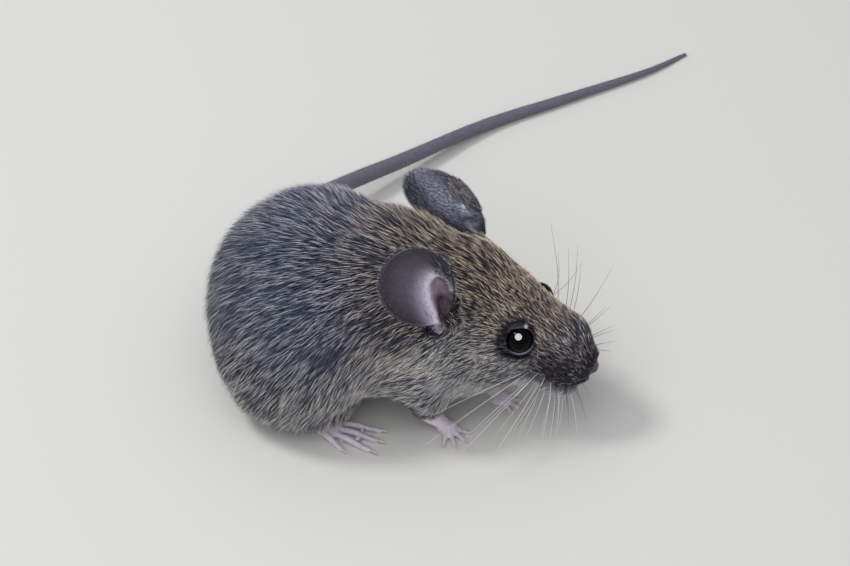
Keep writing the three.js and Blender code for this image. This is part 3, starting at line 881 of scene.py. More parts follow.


# %% [markdown]
# ## Light and dark patches
# Where more of the hairs have a light band the coat looks brighter. There is a bright patch below each
# ear, and behind it a painted shadow of the ear. The right side of the rump is a little darker as painted
# shade, and the face from the brow on and a short line where the coat parts are a little darker than the
# rest.


# %% Light and dark patches
EAR_PATCH = [(15.0, 8.8, 18.5), (18.0, 8.8, 17.0), (21.5, 8.7, 15.0)]
PAINTED_EAR_SHADOW = [(13.5, 8.7, 24.5), (14.1, 8.5, 22.8), (15.2, 8.7, 20.6)]


def brightness_of(spots):
    """More light hairs than elsewhere where positive, fewer where negative."""
    both = np.abs(spots) * [0, 1, 0] + spots * [1, 0, 1]
    mottle = np.sin(spots @ [0.5, 0.4, 0.3]) * np.sin(spots @ [-0.3, 0.6, 0.5] + 1)
    # A bright patch below each ear, and a painted shadow of the ear behind it.
    light = 0.16 * near_line(both, EAR_PATCH, 2.4) - 0.16 * near_line(both, PAINTED_EAR_SHADOW, 2.0)
    # Painted shade: fewer light hairs on the right side of the rump.
    light -= 0.1 * smooth(-spots[:, 0], 7, 14) * smooth(-spots[:, 1], 2, 10)
    place = to_head(spots)
    cheek = 0.06 * (1 - smooth(place[:, 2], -4.5, 1.5)) * smooth(place[:, 0], -20, -8)
    light += cheek * smooth(place[:, 2], -9.5, -6)
    light -= 0.1 * smooth(place[:, 0], -4, 4) + 0.05 * (1 - smooth(place[:, 0], -22, -13))
    light -= 0.03 * (1 - smooth(spots[:, 0], -4, 6))
    return light - 0.13 * near_line(spots, PARTING, 0.85) + 0.05 * mottle


def set_points(mesh, values):
    """Stores one number for each point of the mesh under each name."""
    for name, numbers in values.items():
        attribute = mesh.attributes.get(name) or mesh.attributes.new(name, "FLOAT", "POINT")
        attribute.data.foreach_set("value", np.asarray(numbers, np.float32))


# %% [markdown]
# ## Muzzle and mouth
# The upper lip is a soft pad full of whisker roots, and the closed mouth is a thin groove under it.
# Both are made by moving the skin's own points in or out along their normals.

# %% Muzzle and mouth
skin_spots, skin_normals = mesh_arrays(skin.data)
skin_spots = skin_spots / MM - ORIGIN
both_sides = to_head(skin_spots) * [1, 0, 1] + np.abs(to_head(skin_spots)) * [0, 1, 0]
MOUTH = [(12.9, 0, -1.7), (12.2, 0, -3.0), (10.4, 1.6, -4.3), (7.8, 2.7, -5.4), (5.4, 3.2, -6.3)]
puff = np.exp(-((np.linalg.norm(both_sides - [9.4, 3.0, -2.4], axis=1) / 2.2) ** 2))
mouth = near_line(both_sides, MOUTH, 0.4)
skin_spots += skin_normals * (0.55 * puff * (1 - mouth) - 0.4 * mouth)[:, None]
skin_spots[:, 2] = np.maximum(skin_spots[:, 2], 0.0)
move_vertices(skin.data, (skin_spots + ORIGIN) * MM)
skin_normals = mesh_arrays(skin.data)[1]
skin_tree = BVHTree.FromPolygons(skin_spots.tolist(), [list(face.vertices) for face in skin.data.polygons])
print("the lip's pads stand out by", round(0.55 * float(puff.max()), 2), "mm")

# %% [markdown]
# ## Tags of the ears
# The bare parts have colours of their own, with painted light and shade on some, so each point of the
# skin carries tags from 0 to 1 that say which part it is on. An ear's tags come from the nearest point of
# the sheet that it was made from.


# %% Tags of the ears
place = to_head(skin_spots)
ear_index, ear_distance = nearest_of(np.vstack([ear_tags[side][0] for side in SIDES]), skin_spots)
inside = (ear_index // EAR_GRID**2) % 2 == 0


def from_ears(name):
    values = np.concatenate([np.tile(ear_tags[side][1][name], 2) for side in SIDES])
    return values[ear_index]


on_ear = 1 - smooth(ear_distance, 0.05, 0.5)
tags = {
    "ear": on_ear,
    "ear_inside": on_ear * inside,
    "ear_share": from_ears("share"),
    "ear_long": from_ears("long"),
    "ear_front": from_ears("front"),
    "arch": on_ear * inside * from_ears("arch"),
    "pit": on_ear * inside * from_ears("pit"),
    "slit": on_ear * inside * from_ears("slit"),
    "painted_glow": on_ear * inside * from_ears("painted_glow"),
}
on_lobe = 1 - smooth(distance_to(lobe_ends, skin_spots), 1.1, 1.7)
front_of_lobe = [smooth(skin_normals @ ear_axes(**EARS[side])[2], -0.8, -0.2) for side in SIDES]
on_lobe *= np.where(place[:, 1] < 0, *front_of_lobe)
# The lobes take the ridge's painted light too.
for name, share in (("ear", 1.0), ("ear_inside", 1.0), ("painted_glow", 0.75)):
    tags[name] = np.maximum(tags[name], share * on_lobe)
print("share of the skin that is ear:", round(float(on_ear.mean()), 2))

# %% [markdown]
# ## Tags of the tail, feet and nose
# The tail and feet are told by their distance from the lines they were built on, and the nose by its
# distance from the middle of the pad. On each side of the muzzle, ahead of the eye, lies a small patch
# where the fur is thin.

# %% Tags of the tail, feet and nose
tail_index, tail_off = nearest_of(tail_line, skin_spots)
tail_off = tail_off - tail_radii[tail_index]
tags["tail"] = (1 - smooth(tail_off, 0.15, 0.7)) * smooth(tail_index, 5, 9)
tags["along"] = tail_index * TAIL_LENGTH / (TAIL_STEPS - 1)
feet_off = distance_to(foot_line_points, skin_spots)
top_of_wrist = np.where(skin_spots[:, 0] > 12, 4.6, 2.4)
tags["foot"] = (1 - smooth(feet_off, 1.9, 2.6)) * (1 - smooth(skin_spots[:, 2] - top_of_wrist, -0.8, 0.8))
on_pad = (place - NOSE_MIDDLE) / NOSE_SIZE
tags["nose"] = 1 - smooth(np.linalg.norm(on_pad - [0.2, 0, 0], axis=1), 1.1, 1.35)
# The nostrils and the groove between them are tagged to be painted dark, as shade.
nostril = near_line(np.column_stack([np.abs(on_pad[:, 1]), on_pad[:, 2], on_pad[:, 0]]), NOSTRIL, 0.24)
groove = 0.6 * np.exp(-((on_pad[:, 1] / 0.07) ** 2)) * (on_pad[:, 2] < 0.3)
tags["nostril"] = np.maximum(nostril, groove) * tags["nose"]
tags["mouth"] = mouth
patch = np.linalg.norm((place - [6.7, 0, 0.9]) * [0.8, 0, 1], axis=1)
patch = patch + np.abs(np.abs(place[:, 1]) - 3.8) * 0.3
tags["patch"] = 1 - smooth(patch, 0.4, 1.0)
for name in ("tail", "foot", "nose"):
    print("points on the " + name + ":", int((tags[name] > 0.5).sum()))

# %% [markdown]
# ## Tags of the lids
# Round the eye the lid is dark and bare. Its swelling carries a painted glint, the edge of the lower lid a
# thin painted highlight where it is wet, and the fold in the rear corner a painted shine. Each is found
# in the eye's own frame, with the hood of the upper lid turned back first.

# %% Tags of the lids
lid_off, off_swelling_glint, painted_wet_highlight, corners = [], [], [], []
for middle, axis, back, down in eye_frames.values():
    off = skin_spots - middle
    height = off @ axis
    angle = np.arctan2(off @ down, off @ back)
    flat = np.linalg.norm(off - height[:, None] * axis, axis=1)
    flat, height = hooded(flat, height, angle, -1)
    off_swelling_glint.append(np.hypot(2.55 * from_angle(angle, SWELLING), np.hypot(flat - 2.5, height - 0.55)))
    painted_wet_highlight.append(np.hypot(flat - 2.18, height - 0.62) + 0.16 * np.abs(from_angle(angle, 2.5)))
    corners.append(np.hypot(2.6 * from_angle(angle, 0.8), 0.5 * (flat - 2.8)))
    flat = flat - 0.75 * np.exp(-(((angle - REAR_CORNER) / 0.35) ** 2)) * smooth(flat, 2.3, 3.0)
    lid_off.append(np.hypot(flat - 2.3, height - 0.35))
tags["lid"] = 1 - smooth(np.minimum(*lid_off), 0.25, 0.5)
# The swelling on the upper lid is tagged for a painted glint.
tags["swelling_and_glint"] = 1 - smooth(np.minimum(*off_swelling_glint), 0.14, 0.42)
# The wet edge of the lower lid is tagged for a thin painted highlight.
tags["painted_wet_highlight"] = 1 - smooth(np.minimum(*painted_wet_highlight), 0.08, 0.24)
# The fold in the rear corner of the eye is tagged for a painted shine.
tags["corner"] = (1 - smooth(np.minimum(*corners), 0.2, 0.6)) * tags["lid"]
set_points(skin.data, tags)
set_points(skin.data, markings(skin_spots))
print("tags and markings:", len(skin.data.attributes), "attributes on the skin")

# %% [markdown]
# ## The lie of the coat
# Fur lies backwards from the nose. It parts round the eyes and ears, runs down the flanks and the
# rump, and down the legs. One function gives that direction anywhere on the skin.


# %% Lie of the coat
def lie_of_coat(spots, normals):
    place = to_head(spots)
    side = np.abs(place[:, 1])
    head_part = smooth(place[:, 0], -17, -7) * smooth(spots[:, 0], 10, 18)
    down = -1.5 * smooth(side, 2, 6) * smooth(-place[:, 2], -2.5, 5) * smooth(-place[:, 0], -8, 3)
    lie = -HEAD_AHEAD + down[:, None] * HEAD_UP
    flank = smooth(np.abs(spots[:, 1]), 2, 14)
    rump = smooth(-spots[:, 0], 6, 17)
    fall = 0.15 + 1.3 * flank * smooth(-spots[:, 2], -32, -12) + 0.8 * rump
    outwards = np.sign(spots[:, 1]) * (0.15 * rump + 0.5 * smooth(np.abs(spots[:, 1]), 0.5, 7))
    trunk_lie = unit(np.column_stack([-np.ones(len(spots)), outwards, -fall]))
    lie = unit(lie) * head_part[:, None] + trunk_lie * (1 - head_part[:, None])
    leg = smooth(-spots[:, 2], -8, -4) * (1 - smooth(distance_to(foot_line_points, spots), 2.5, 5))
    lie = lie * (1 - leg[:, None]) + leg[:, None] * np.array([0.25, 0, -1])
    for middle, reach in obstacles:
        off = spots - middle
        off -= (off * normals).sum(axis=1)[:, None] * normals
        apart = np.linalg.norm(off, axis=1)
        away = off / np.maximum(apart, 0.01)[:, None]
        towards = np.minimum((lie * away).sum(axis=1), 0.0)
        lie = lie - (towards * np.exp(-((np.maximum(apart - reach, 0) / 1.3) ** 2)))[:, None] * away * 1.25
    lie = lie - (lie * normals).sum(axis=1)[:, None] * normals
    lost = 1 - smooth(np.linalg.norm(lie, axis=1), 0.15, 0.5)
    downwards = -(np.array([0.0, 0.0, 1.0]) - normals[:, 2:] * normals)
    return unit(lie + lost[:, None] * downwards)


obstacles = [(middle, 2.3) for middle, *_ in eye_frames.values()]
for side, sign in SIDES.items():
    root, along, facing, across = ear_axes(**EARS[side])
    obstacles.append((root + 1.0 * along, 3.0))
print("the coat parts round", len(obstacles), "places")

# %% [markdown]
# ## Roots of the coat
# Roots are scattered over the skin by area. The bare nose pad, lids, soles and scaly tail get none
# here, and the ears get a fine down of their own later.


# %% Roots
def scatter(mesh, spots, normals, weight, count, seed):
    """Roots on the mesh: their places and normals."""
    mesh.calc_loop_triangles()
    corners = np.empty(len(mesh.loop_triangles) * 3, np.int32)
    mesh.loop_triangles.foreach_get("vertices", corners)
    corners = corners.reshape(-1, 3)
    sides = spots[corners[:, 1:]] - spots[corners[:, :1]]
    area = np.linalg.norm(np.cross(sides[:, 0], sides[:, 1]), axis=1) / 2 * weight[corners].mean(axis=1)
    rng = np.random.default_rng(seed)
    steps = (np.arange(count) + rng.random(count)) / count
    chosen = corners[np.searchsorted(np.cumsum(area) / area.sum(), steps).clip(0, len(corners) - 1)]
    share = np.sort(rng.random((count, 2)), axis=1)
    share = np.column_stack([share[:, 0], share[:, 1] - share[:, 0], 1 - share[:, 1]])[:, :, None]
    return (spots[chosen] * share).sum(axis=1), unit((normals[chosen] * share).sum(axis=1))


ear_skin = tags["ear"] * np.maximum(smooth(tags["ear_long"], 2.0, 4.5), tags["ear_inside"])
bare = [tags[name] for name in ("tail", "nose", "lid", "foot")]
bare = np.maximum.reduce([ear_skin, *bare, 0.65 * tags["patch"]])
furred = (1 - smooth(bare, 0.3, 0.8)) * (0.25 + 0.75 * smooth(skin_spots[:, 2], 0.6, 3))
face = smooth(place[:, 0], -12, 2)
density = furred * (1 + 1.2 * face) * (1 - 0.35 * markings(skin_spots)["dusk"])
BODY_TUFTS = 131400
roots, root_normals = scatter(skin.data, skin_spots, skin_normals, density, BODY_TUFTS, 5)
print("roots:", len(roots))

# %% [markdown]
# ## Tufts
# A tuft is a closed spike with three sides. It leaves the skin steeply, bends over, and then lies along
# the body, so that neighbours overlap like thatch. About one in five has a light band: it is finer and
# longer than the others and stands a little prouder. The tips of about four neighbours are drawn
# slightly together.


# %% Shape of the tufts
TUFTS_PER_CLUMP, CLUMP_PULL, LONGEST_PULL = 4, 0.1, 0.9
ROOT_DEPTH, LEAST_HEIGHT = 0.12, 0.12


def grow(roots, normals, lie, length, height, width, seed, banded):
    """The three points of each tuft's path and its width, with tips drawn a little together."""
    rng = np.random.default_rng(seed)
    count = len(roots)
    sideways = np.cross(normals, lie)
    wave = np.sin(roots @ [0.9, 0.7, 0.5]) + np.sin(roots @ [-0.6, 1.1, 0.8] + 2)
    wave = wave + np.sin(roots @ [1.7, -1.3, 1.5])
    turn = 0.05 * wave + rng.normal(0, 0.14, count)
    lie = unit(lie * np.cos(turn)[:, None] + sideways * np.sin(turn)[:, None])
    length = length * rng.uniform(0.75, 1.15, count) * np.where(banded, 1.12, 0.92)
    height = height * np.where(banded, rng.uniform(0.8, 1.08, count), rng.uniform(0.45, 0.92, count))
    width = width * np.where(banded, 0.7, 1.0) * rng.uniform(0.8, 1.2, count)
    run = np.sqrt(np.maximum(length**2 - height**2, (0.5 * length) ** 2))
    tip = roots + lie * run[:, None] + normals * height[:, None]
    middle = roots + lie * (0.4 * run)[:, None] + normals * (0.74 * height)[:, None]
    leaders = np.sort(rng.choice(count, max(count // TUFTS_PER_CLUMP, 1), replace=False))
    leader = leaders[nearest_of(roots[leaders], roots)[0]]
    pull = tip[leader] - tip
    pull *= np.minimum(1, LONGEST_PULL / np.maximum(np.linalg.norm(pull, axis=1), 0.01))[:, None]
    pull -= 0.6 * (pull * normals).sum(axis=1)[:, None] * normals
    strength = CLUMP_PULL * rng.uniform(0.4, 1.3, count)[:, None]
    path = [roots - normals * ROOT_DEPTH, middle + pull * strength * 0.3, tip + pull * strength]
    for spots in path:
        spots[:, 2] = np.maximum(spots[:, 2], LEAST_HEIGHT)
    return *path, width


# %% [markdown]
# ## The mesh of many tufts
# A spike has seven points: three round its root, three round its bend, and the tip. All the tufts of a
# piece are laid into one mesh at once, because a hundred thousand meshes would be slow to handle.


# %% The mesh of many tufts
PATCH_SIZE = 0.0015


def tuft_mesh(name, path, width, values, patch):
    """One mesh of closed three-sided spikes along the paths, with their attributes and their UV map."""
    start, middle, tip = path
    count = len(start)
    angles = np.array([0, 2, 4]) * np.pi / 3
    rings = []
    for spot, ahead, size in ((start, middle - start, 0.9), (middle, tip - start, 1.0)):
        ahead = unit(ahead)
        side = unit(np.cross(ahead, values["normal"]))
        top = np.cross(side, ahead)
        for angle in angles:
            outwards = math.cos(angle) * side + 0.8 * math.sin(angle) * top
            rings.append(spot + (width * size / 2)[:, None] * outwards)
    spots = np.stack(rings + [tip], axis=1)
    quads = np.array([[0, 1, 4, 3], [1, 2, 5, 4], [2, 0, 3, 5]])
    triangles = np.array([[3, 4, 6], [4, 5, 6], [5, 3, 6], [2, 1, 0]])
    base = (np.arange(count) * 7)[:, None]
    loops = np.concatenate([base + quads.ravel(), base + triangles.ravel()], axis=1)
    sizes = np.array([4, 4, 4, 3, 3, 3, 3])
    starts = np.concatenate([[0], np.cumsum(np.tile(sizes, count))[:-1]])
    mesh = bpy.data.meshes.new(name)
    mesh.vertices.add(count * 7)
    mesh.vertices.foreach_set("co", ((spots + ORIGIN) * MM).astype(np.float32).ravel())
    mesh.loops.add(loops.size)
    mesh.loops.foreach_set("vertex_index", loops.astype(np.int32).ravel())
    mesh.polygons.add(count * 7)
    mesh.polygons.foreach_set("loop_start", starts.astype(np.int32))
    mesh.polygons.foreach_set("use_smooth", np.ones(count * 7, bool))
    mesh.update(calc_edges=True)
    up = np.tile([0, 0, 0, 0.5, 0.5, 0.5, 1.0], count)
    set_points(mesh, {"up": up})
    set_points(mesh, {key: np.repeat(numbers, 7) for key, numbers in values.items() if key != "normal"})
    offset = np.array([[-1, -1], [0, -1], [1, -1], [-1, 0], [0, 0], [1, 0], [0, 1]]) * PATCH_SIZE
    places = (patch[:, None] + offset[None]).reshape(-1, 2)
    layer = mesh.uv_layers.new(name="OFBake")
    layer.data.foreach_set("uv", places[loops.ravel()].astype(np.float32).ravel())
    mesh.validate()
    return mesh


# %% [markdown]
# ## Tufts of the body
# A tuft is as high as the coat is deep at its root, and short fur is finer. On the bridge of the nose
# it stands a little higher. A tuft that would pass through an ear or lie on an eye is left out.


# %% Body tufts
BANDED_ABOVE = 0.79
depth = coat_depth(roots)
lie = lie_of_coat(roots, root_normals)
root_place = to_head(roots)
bridge = smooth(root_place[:, 2], 0.3, 2.0) * smooth(root_place[:, 0], 0, 4)
bridge = bridge * (1 - smooth(root_place[:, 0], 8, 12))
height = 0.92 * depth + 0.55 * bridge
length = 1.12 * height + 0.8
marks = markings(roots)
width = np.interp(depth, [0.4, 1.0, 3.0], [0.085, 0.1, 0.135])
width = width * (1 + 0.3 * marks["grey"] - 0.3 * marks["slate"])
chance = np.clip(np.random.default_rng(3).random(len(roots)) + brightness_of(roots), 0, 1)
banded = chance > BANDED_ABOVE
start, middle, tip, width = grow(roots, root_normals, lie, length, height, width, 8, banded)


def is_clear(start, middle, tip):
    """Which tufts pass through no ear and stay off the eyes."""
    clear = np.ones(len(start), bool)
    for side in SIDES:
        eye = eye_frames[side][0]
        for spot in (middle, tip, (middle + tip) / 2, (middle + start) / 2):
            clear &= np.linalg.norm(spot - eye, axis=1) > EYE_RADIUS + 0.12
        root = ear_axes(**EARS[side])[0]
        near = np.flatnonzero(np.linalg.norm(start - root, axis=1) < EAR_LENGTH + 5)
        for index in near:
            for begin, end in ((start[index], middle[index]), (middle[index], tip[index])):
                run = Vector(end - begin)
                if ear_walls[side].ray_cast(Vector(begin), run, run.length)[0] is not None:
                    clear[index] = False
                    break
    return clear


clear = is_clear(start, middle, tip)
print("tufts left out because an ear or eye is in the way:", int((~clear).sum()))

# %% [markdown]
# ## The coat's pieces
# The tufts are parted by their station along the body, so that each piece stays a workable size. A
# piece also gets a map in which every tuft is a tiny patch, placed where its root lies on an unwrap of
# the skin: the station along the body one way, and the angle round it the other way.


# %% Pieces of the coat
def unwrap(roots):
    """Where roots lie on an unwrap of the skin: along the body, and round it."""
    spine = np.interp(roots[:, 0], [-17, 5, 20, 45], [14, 16, 17, 12])
    angle = np.arctan2(roots[:, 1] - np.interp(roots[:, 0], [-17, 20, 45], [0, 1, 1]), roots[:, 2] - spine)
    along = np.argsort(np.argsort(roots[:, 0])) / len(roots)
    return np.column_stack([0.02 + 0.96 * along, 0.02 + 0.96 * (angle / (2 * np.pi) + 0.5)])


coat_pieces = []
PIECE_NAMES = ["rump", "haunches", "loins", "back", "shoulders", "neck", "nape", "crown", "brow"]
TRIANGLES_PER_TUFT, MOST_TRIANGLES = 10, 150000
kept = np.flatnonzero(clear)
kept = kept[np.argsort(roots[kept, 0])]
shares = np.array_split(kept, math.ceil(len(kept) * TRIANGLES_PER_TUFT / MOST_TRIANGLES))
for name, chosen in zip(PIECE_NAMES, shares):
    values = {key: numbers[chosen] for key, numbers in marks.items()}
    values.update(chance=chance[chosen], normal=root_normals[chosen])
    path = (start[chosen], middle[chosen], tip[chosen])
    mesh = tuft_mesh("coat_" + name, path, width[chosen], values, unwrap(roots[chosen]))
    coat_pieces.append(object_of("coat_" + name, mesh))
print("coat:", {piece.name: len(piece.data.polygons) for piece in coat_pieces})

# %% [markdown]
# ## Down
# The ears, feet and tail look bare, yet each has a down of short fine hairs. On the ears it lies
# towards the rim, on the feet towards the toes and on the tail towards its tip. Longer hairs fringe the
# front edge of the ears, and pale ones hang from the upper lip.


# %% Down
def shades_of(slate=0.0, pale=0.0, grey=0.0, dusk=0.0):
    return {"slate": slate, "pale": pale, "grey": grey, "dusk": dusk}


def everywhere(direction):
    """A lie that is the same at every root."""
    return lambda spots: np.tile(direction, (len(spots), 1))


def along_lines(points, ahead):
    """A lie that follows the nearest point of some lines."""
    return lambda spots: ahead[nearest_of(points, spots)[0]]


def add_down(name, weight, count, lie_at, length, width, shades, seed, rise=0.32):
    """Short fine hairs on part of the skin, all of one set of shades."""
    roots, normals = scatter(skin.data, skin_spots, skin_normals, weight, count, seed)
    chance = np.random.default_rng(seed).random(count)
    lie = lie_at(roots)
    lie = unit(lie - (lie * normals).sum(axis=1)[:, None] * normals)
    *path, widths = grow(roots, normals, lie, length, length * rise, width, seed, chance > 0.76)
    values = {key: np.full(count, shade) for key, shade in shades.items()}
    values.update(chance=chance, normal=normals)
    coat_pieces.append(object_of(name, tuft_mesh(name, path, widths, values, unwrap(roots))))


# %% [markdown]
# ## Down on the ears
# The back of an ear is evenly downy. Inside it the down is sparse, a little thicker towards the rim,
# and nothing grows in the pit.

# %% Down on the ears
for number, (side, sign) in enumerate(SIDES.items()):
    root, along, facing, across = ear_axes(**EARS[side])
    this_ear = (tags["ear"] > 0.7) & (np.sign(place[:, 1]) == sign)
    towards_rim = 0.35 + 0.65 * smooth(tags["ear_share"], 0.6, 0.95)
    weight = this_ear * np.where(tags["ear_inside"] > 0.5, 0.22 * towards_rim, 1.0)
    weight = weight * (1 - np.clip(tags["pit"] * 2, 0, 1))
    shades = shades_of(slate=1.0, dusk=0.4)
    add_down("down_ear_" + side, weight, 4600, everywhere(along), 0.85, 0.055, shades, 20 + number)
    front_edge = this_ear * smooth(tags["ear_front"], 3.4, 4.6) * (1 - smooth(tags["ear_long"], 7, 11))
    front_edge *= 1 - 0.8 * tags["ear_inside"]
    leaning = everywhere(along - 0.2 * facing)
    shades = shades_of(slate=0.5, dusk=0.35)
    add_down("edge_of_ear_" + side, front_edge, 700, leaning, 1.3, 0.09, shades, 24 + number)
print("pieces so far:", len(coat_pieces))

# %% [markdown]
# ## Fringe of the lip, and down on the feet and tail
# The lip's hairs are long and pale and hang down and back, which softens the line of the mouth. The
# feet have pale down on their upper side only, and the tail has short dark down all round.

# %% Fringe of the lip, and down on the feet and tail
LIP = [(10.9, 2.2, -2.3), (9.6, 3.2, -3.0), (8.2, 3.7, -3.6), (6.2, 4.2, -4.2), (4.6, 4.5, -4.7)]
near_lip = near_line(both_sides, LIP, 0.65)
PALE = shades_of(pale=1.0)


def down_and_out(spots):
    """Down from the lip, a little back and away from the middle."""
    left = 0.35 * np.sign(to_head(spots)[:, 1])
    return np.column_stack([np.full(len(spots), -0.3), left, np.full(len(spots), -0.9)]) @ HEAD_AXES


fringe = near_lip * (near_lip > 0.2) * (1 - tags["nose"])
add_down("lip_fringe", fringe, 2600, down_and_out, 2.7, 0.14, PALE, 29, 0.75)
toe_ahead = []
for line in foot_lines:
    is_level = line[0, 2] < 4 and line[-1, 2] < 4
    toe_ahead.append(unit(np.gradient(line, axis=0)) * (1 if is_level else -1))
towards_toes = along_lines(np.vstack(foot_lines), np.vstack(toe_ahead))
upper_side = tags["foot"] * smooth(skin_normals[:, 2], -0.1, 0.5)
add_down("down_feet", upper_side, 3200, towards_toes, 0.6, 0.04, PALE, 30)
towards_tip = along_lines(tail_line, unit(np.gradient(tail_line, axis=0)))
shades = shades_of(slate=1.0, grey=0.2, dusk=0.3)
add_down("down_tail", tags["tail"], 4200, towards_tip, 0.75, 0.03, shades, 31)
print("pieces of coat and down:", len(coat_pieces))

# %% [markdown]
# ## Whiskers
# Whiskers stand in rows on the pads of the muzzle. The rear ones are longest and sweep back, and the
# front ones are short and point ahead. Each is a long closed cone with a slight bend, dark in the
# upper rows and white in the lower ones. Two finer ones stand over each eye.

# %% Whiskers
whisker_parts, whisker_shades = [], []
rng = np.random.default_rng(12)
for sign in SIDES.values():
    for row in range(5):
        for column in range(5 if row in (0, 4) else 6):
            back = column / 5
            spot = [9.9 - 4.6 * back, sign * (2.3 + 1.9 * back), -0.9 - 0.75 * row - 0.5 * back]
            hit = skin_tree.find_nearest(Vector(from_head(*spot)))
            start = np.array(hit[0]) - 0.3 * np.array(hit[1])
            aim_at = [0.75 - 1.25 * back, sign * (0.7 + 0.25 * back), 0.42 - 0.27 * row]
            ahead = unit(unit(np.array(aim_at) + rng.normal(0, 0.07, 3)) @ HEAD_AXES)
            length = (7 + 12 * back**1.2 - 0.7 * abs(row - 2)) * rng.uniform(0.8, 1.1)
            droop = np.array([-0.1, 0, -0.07 - 0.03 * row]) * length
            halfway, end = start + ahead * length * 0.5 + droop * 0.2, start + ahead * length + droop
            line = smooth_path([start, halfway, end], 14)
            line[:, 2] = np.maximum(line[:, 2], 0.35)
            whisker_parts.append(tube(line, np.linspace(0.055, 0.012, 14), 5))
            whisker_shades.append(1.0 if row < 2 else 0.0)
    for angle in (0.2, 0.75):
        spot = from_head(0.6 + angle, sign * 3.6, 3.4)
        start = np.array(skin_tree.find_nearest(Vector(spot))[0])
        ahead = unit(np.array([0.35 - angle, sign * 0.5, 0.8]) @ HEAD_AXES)
        line = smooth_path([start, start + ahead * 4, start + ahead * 8 - [1.2, 0, 0]], 10)
        whisker_parts.append(tube(line, np.linspace(0.04, 0.012, 10), 5))
        whisker_shades.append(1.0)
whiskers = object_of("whiskers", new_mesh("whiskers", *merge(whisker_parts)))
counts = [len(spots) for spots, faces in whisker_parts]
set_points(whiskers.data, {"dark": np.repeat(whisker_shades, counts)})
print("whiskers:", len(whisker_parts))

# %% [markdown]
# ## Colours of the fur
# A wild mouse's hair is agouti: dark grey at the root, and towards its tip either a light band or a dark
# end. The markings decide which greys and browns those are, and each tuft's own chance decides whether
# it is a banded one.


# %% Fur
def attribute(tree, name):
    return add_node(tree, "ShaderNodeAttribute", {"attribute_name": name}).outputs["Fac"]


def mixed(tree, amount, first, second):
    node = add_node(tree, "ShaderNodeMix", {"data_type": "RGBA"}, _0=amount)
    for socket, value in ((node.inputs[6], first), (node.inputs[7], second)):
        if isinstance(value, bpy.types.NodeSocket):
            tree.links.new(value, socket)
        else:
            socket.default_value = linear(value)
    return node.outputs[2]


def sums(tree, kind, first, second=0.0):
    return add_node(tree, "ShaderNodeMath", {"operation": kind}, _0=first, _1=second).outputs[0]


def ranged(tree, value, low, high, to_low=0.0, to_high=1.0):
    settings = {"interpolation_type": "SMOOTHSTEP"}
    inputs = {"_1": low, "_2": high, "_3": to_low, "_4": to_high}
    return add_node(tree, "ShaderNodeMapRange", settings, _0=value, **inputs).outputs[0]


def coat_colour(tree, brown, slate, grey, pale, dusk):
    """The colour of one part of the hair, from its colour in each marking."""
    colour = mixed(tree, attribute(tree, "slate"), brown, slate)
    colour = mixed(tree, attribute(tree, "grey"), colour, grey)
    colour = mixed(tree, attribute(tree, "pale"), colour, pale)
    return mixed(tree, attribute(tree, "dusk"), colour, dusk)


# Hair: dark roots, pale bands and dark tips side by side, with a dull shine, so the coat looks peppered.
fur_material, tree = new_material("agouti_hair")
ROOTS = ("#1c1a1f", "#2a2f3f", "#242835", "#7d7a82", "#141116")
root_colour = coat_colour(tree, *ROOTS)
dark_tip = coat_colour(tree, "#4f4951", "#666e88", "#585c72", "#c2bec1", "#262129")
band = coat_colour(tree, "#f6e1c9", "#efedf6", "#fffaf3", "#f6f2f0", "#7a6d7a")
is_banded = ranged(tree, attribute(tree, "chance"), 0.76, 0.82)
tip_colour = mixed(tree, is_banded, dark_tip, band)
up = ranged(tree, attribute(tree, "up"), 0.3, 0.78)
shader = add_node(
    tree, "ShaderNodeBsdfPrincipled", Base_Color=mixed(tree, up, root_colour, tip_colour), Roughness=0.42
)
shader.inputs["Specular IOR Level"].default_value = 0.45
finish_material(tree, shader)

# %% [markdown]
# ## Colours of the skin
# Skin under the coat is as dark as the hair's roots. The ears are thin and mauve, paler on the ridge, which
# carries painted light and a painted highlight, and streaked with painted sheen behind. The feet are pink,
# and the tail is ringed with tiny scales. The colours are laid one over another, each part's by its own
# tag.

# %% Skin of the ears
SKIN_GRAIN, TAIL_RING = 1 / 6, 0.55
# Thin living skin: a fine grain, a soft shine, and a little light that passes into it and warms it.
skin_material, tree = new_material("mouse_skin")
ear_colour = mixed(tree, ranged(tree, attribute(tree, "ear_share"), 0.3, 0.98), "#585162", "#36303a")
# Painted light round the ridge; the ridge itself near white, partly its own paler fold, partly painted
# highlight.
ear_colour = mixed(tree, sums(tree, "MULTIPLY", attribute(tree, "painted_glow"), 0.8), ear_colour, "#b1a6bd")
ear_colour = mixed(tree, sums(tree, "MULTIPLY", attribute(tree, "arch"), 0.95), ear_colour, "#e6dcee")
ear_colour = mixed(tree, attribute(tree, "pit"), ear_colour, "#a98a9c")
# Painted shade: the slit into the ear's canal is painted dark.
ear_colour = mixed(tree, attribute(tree, "slit"), ear_colour, "#40222a")
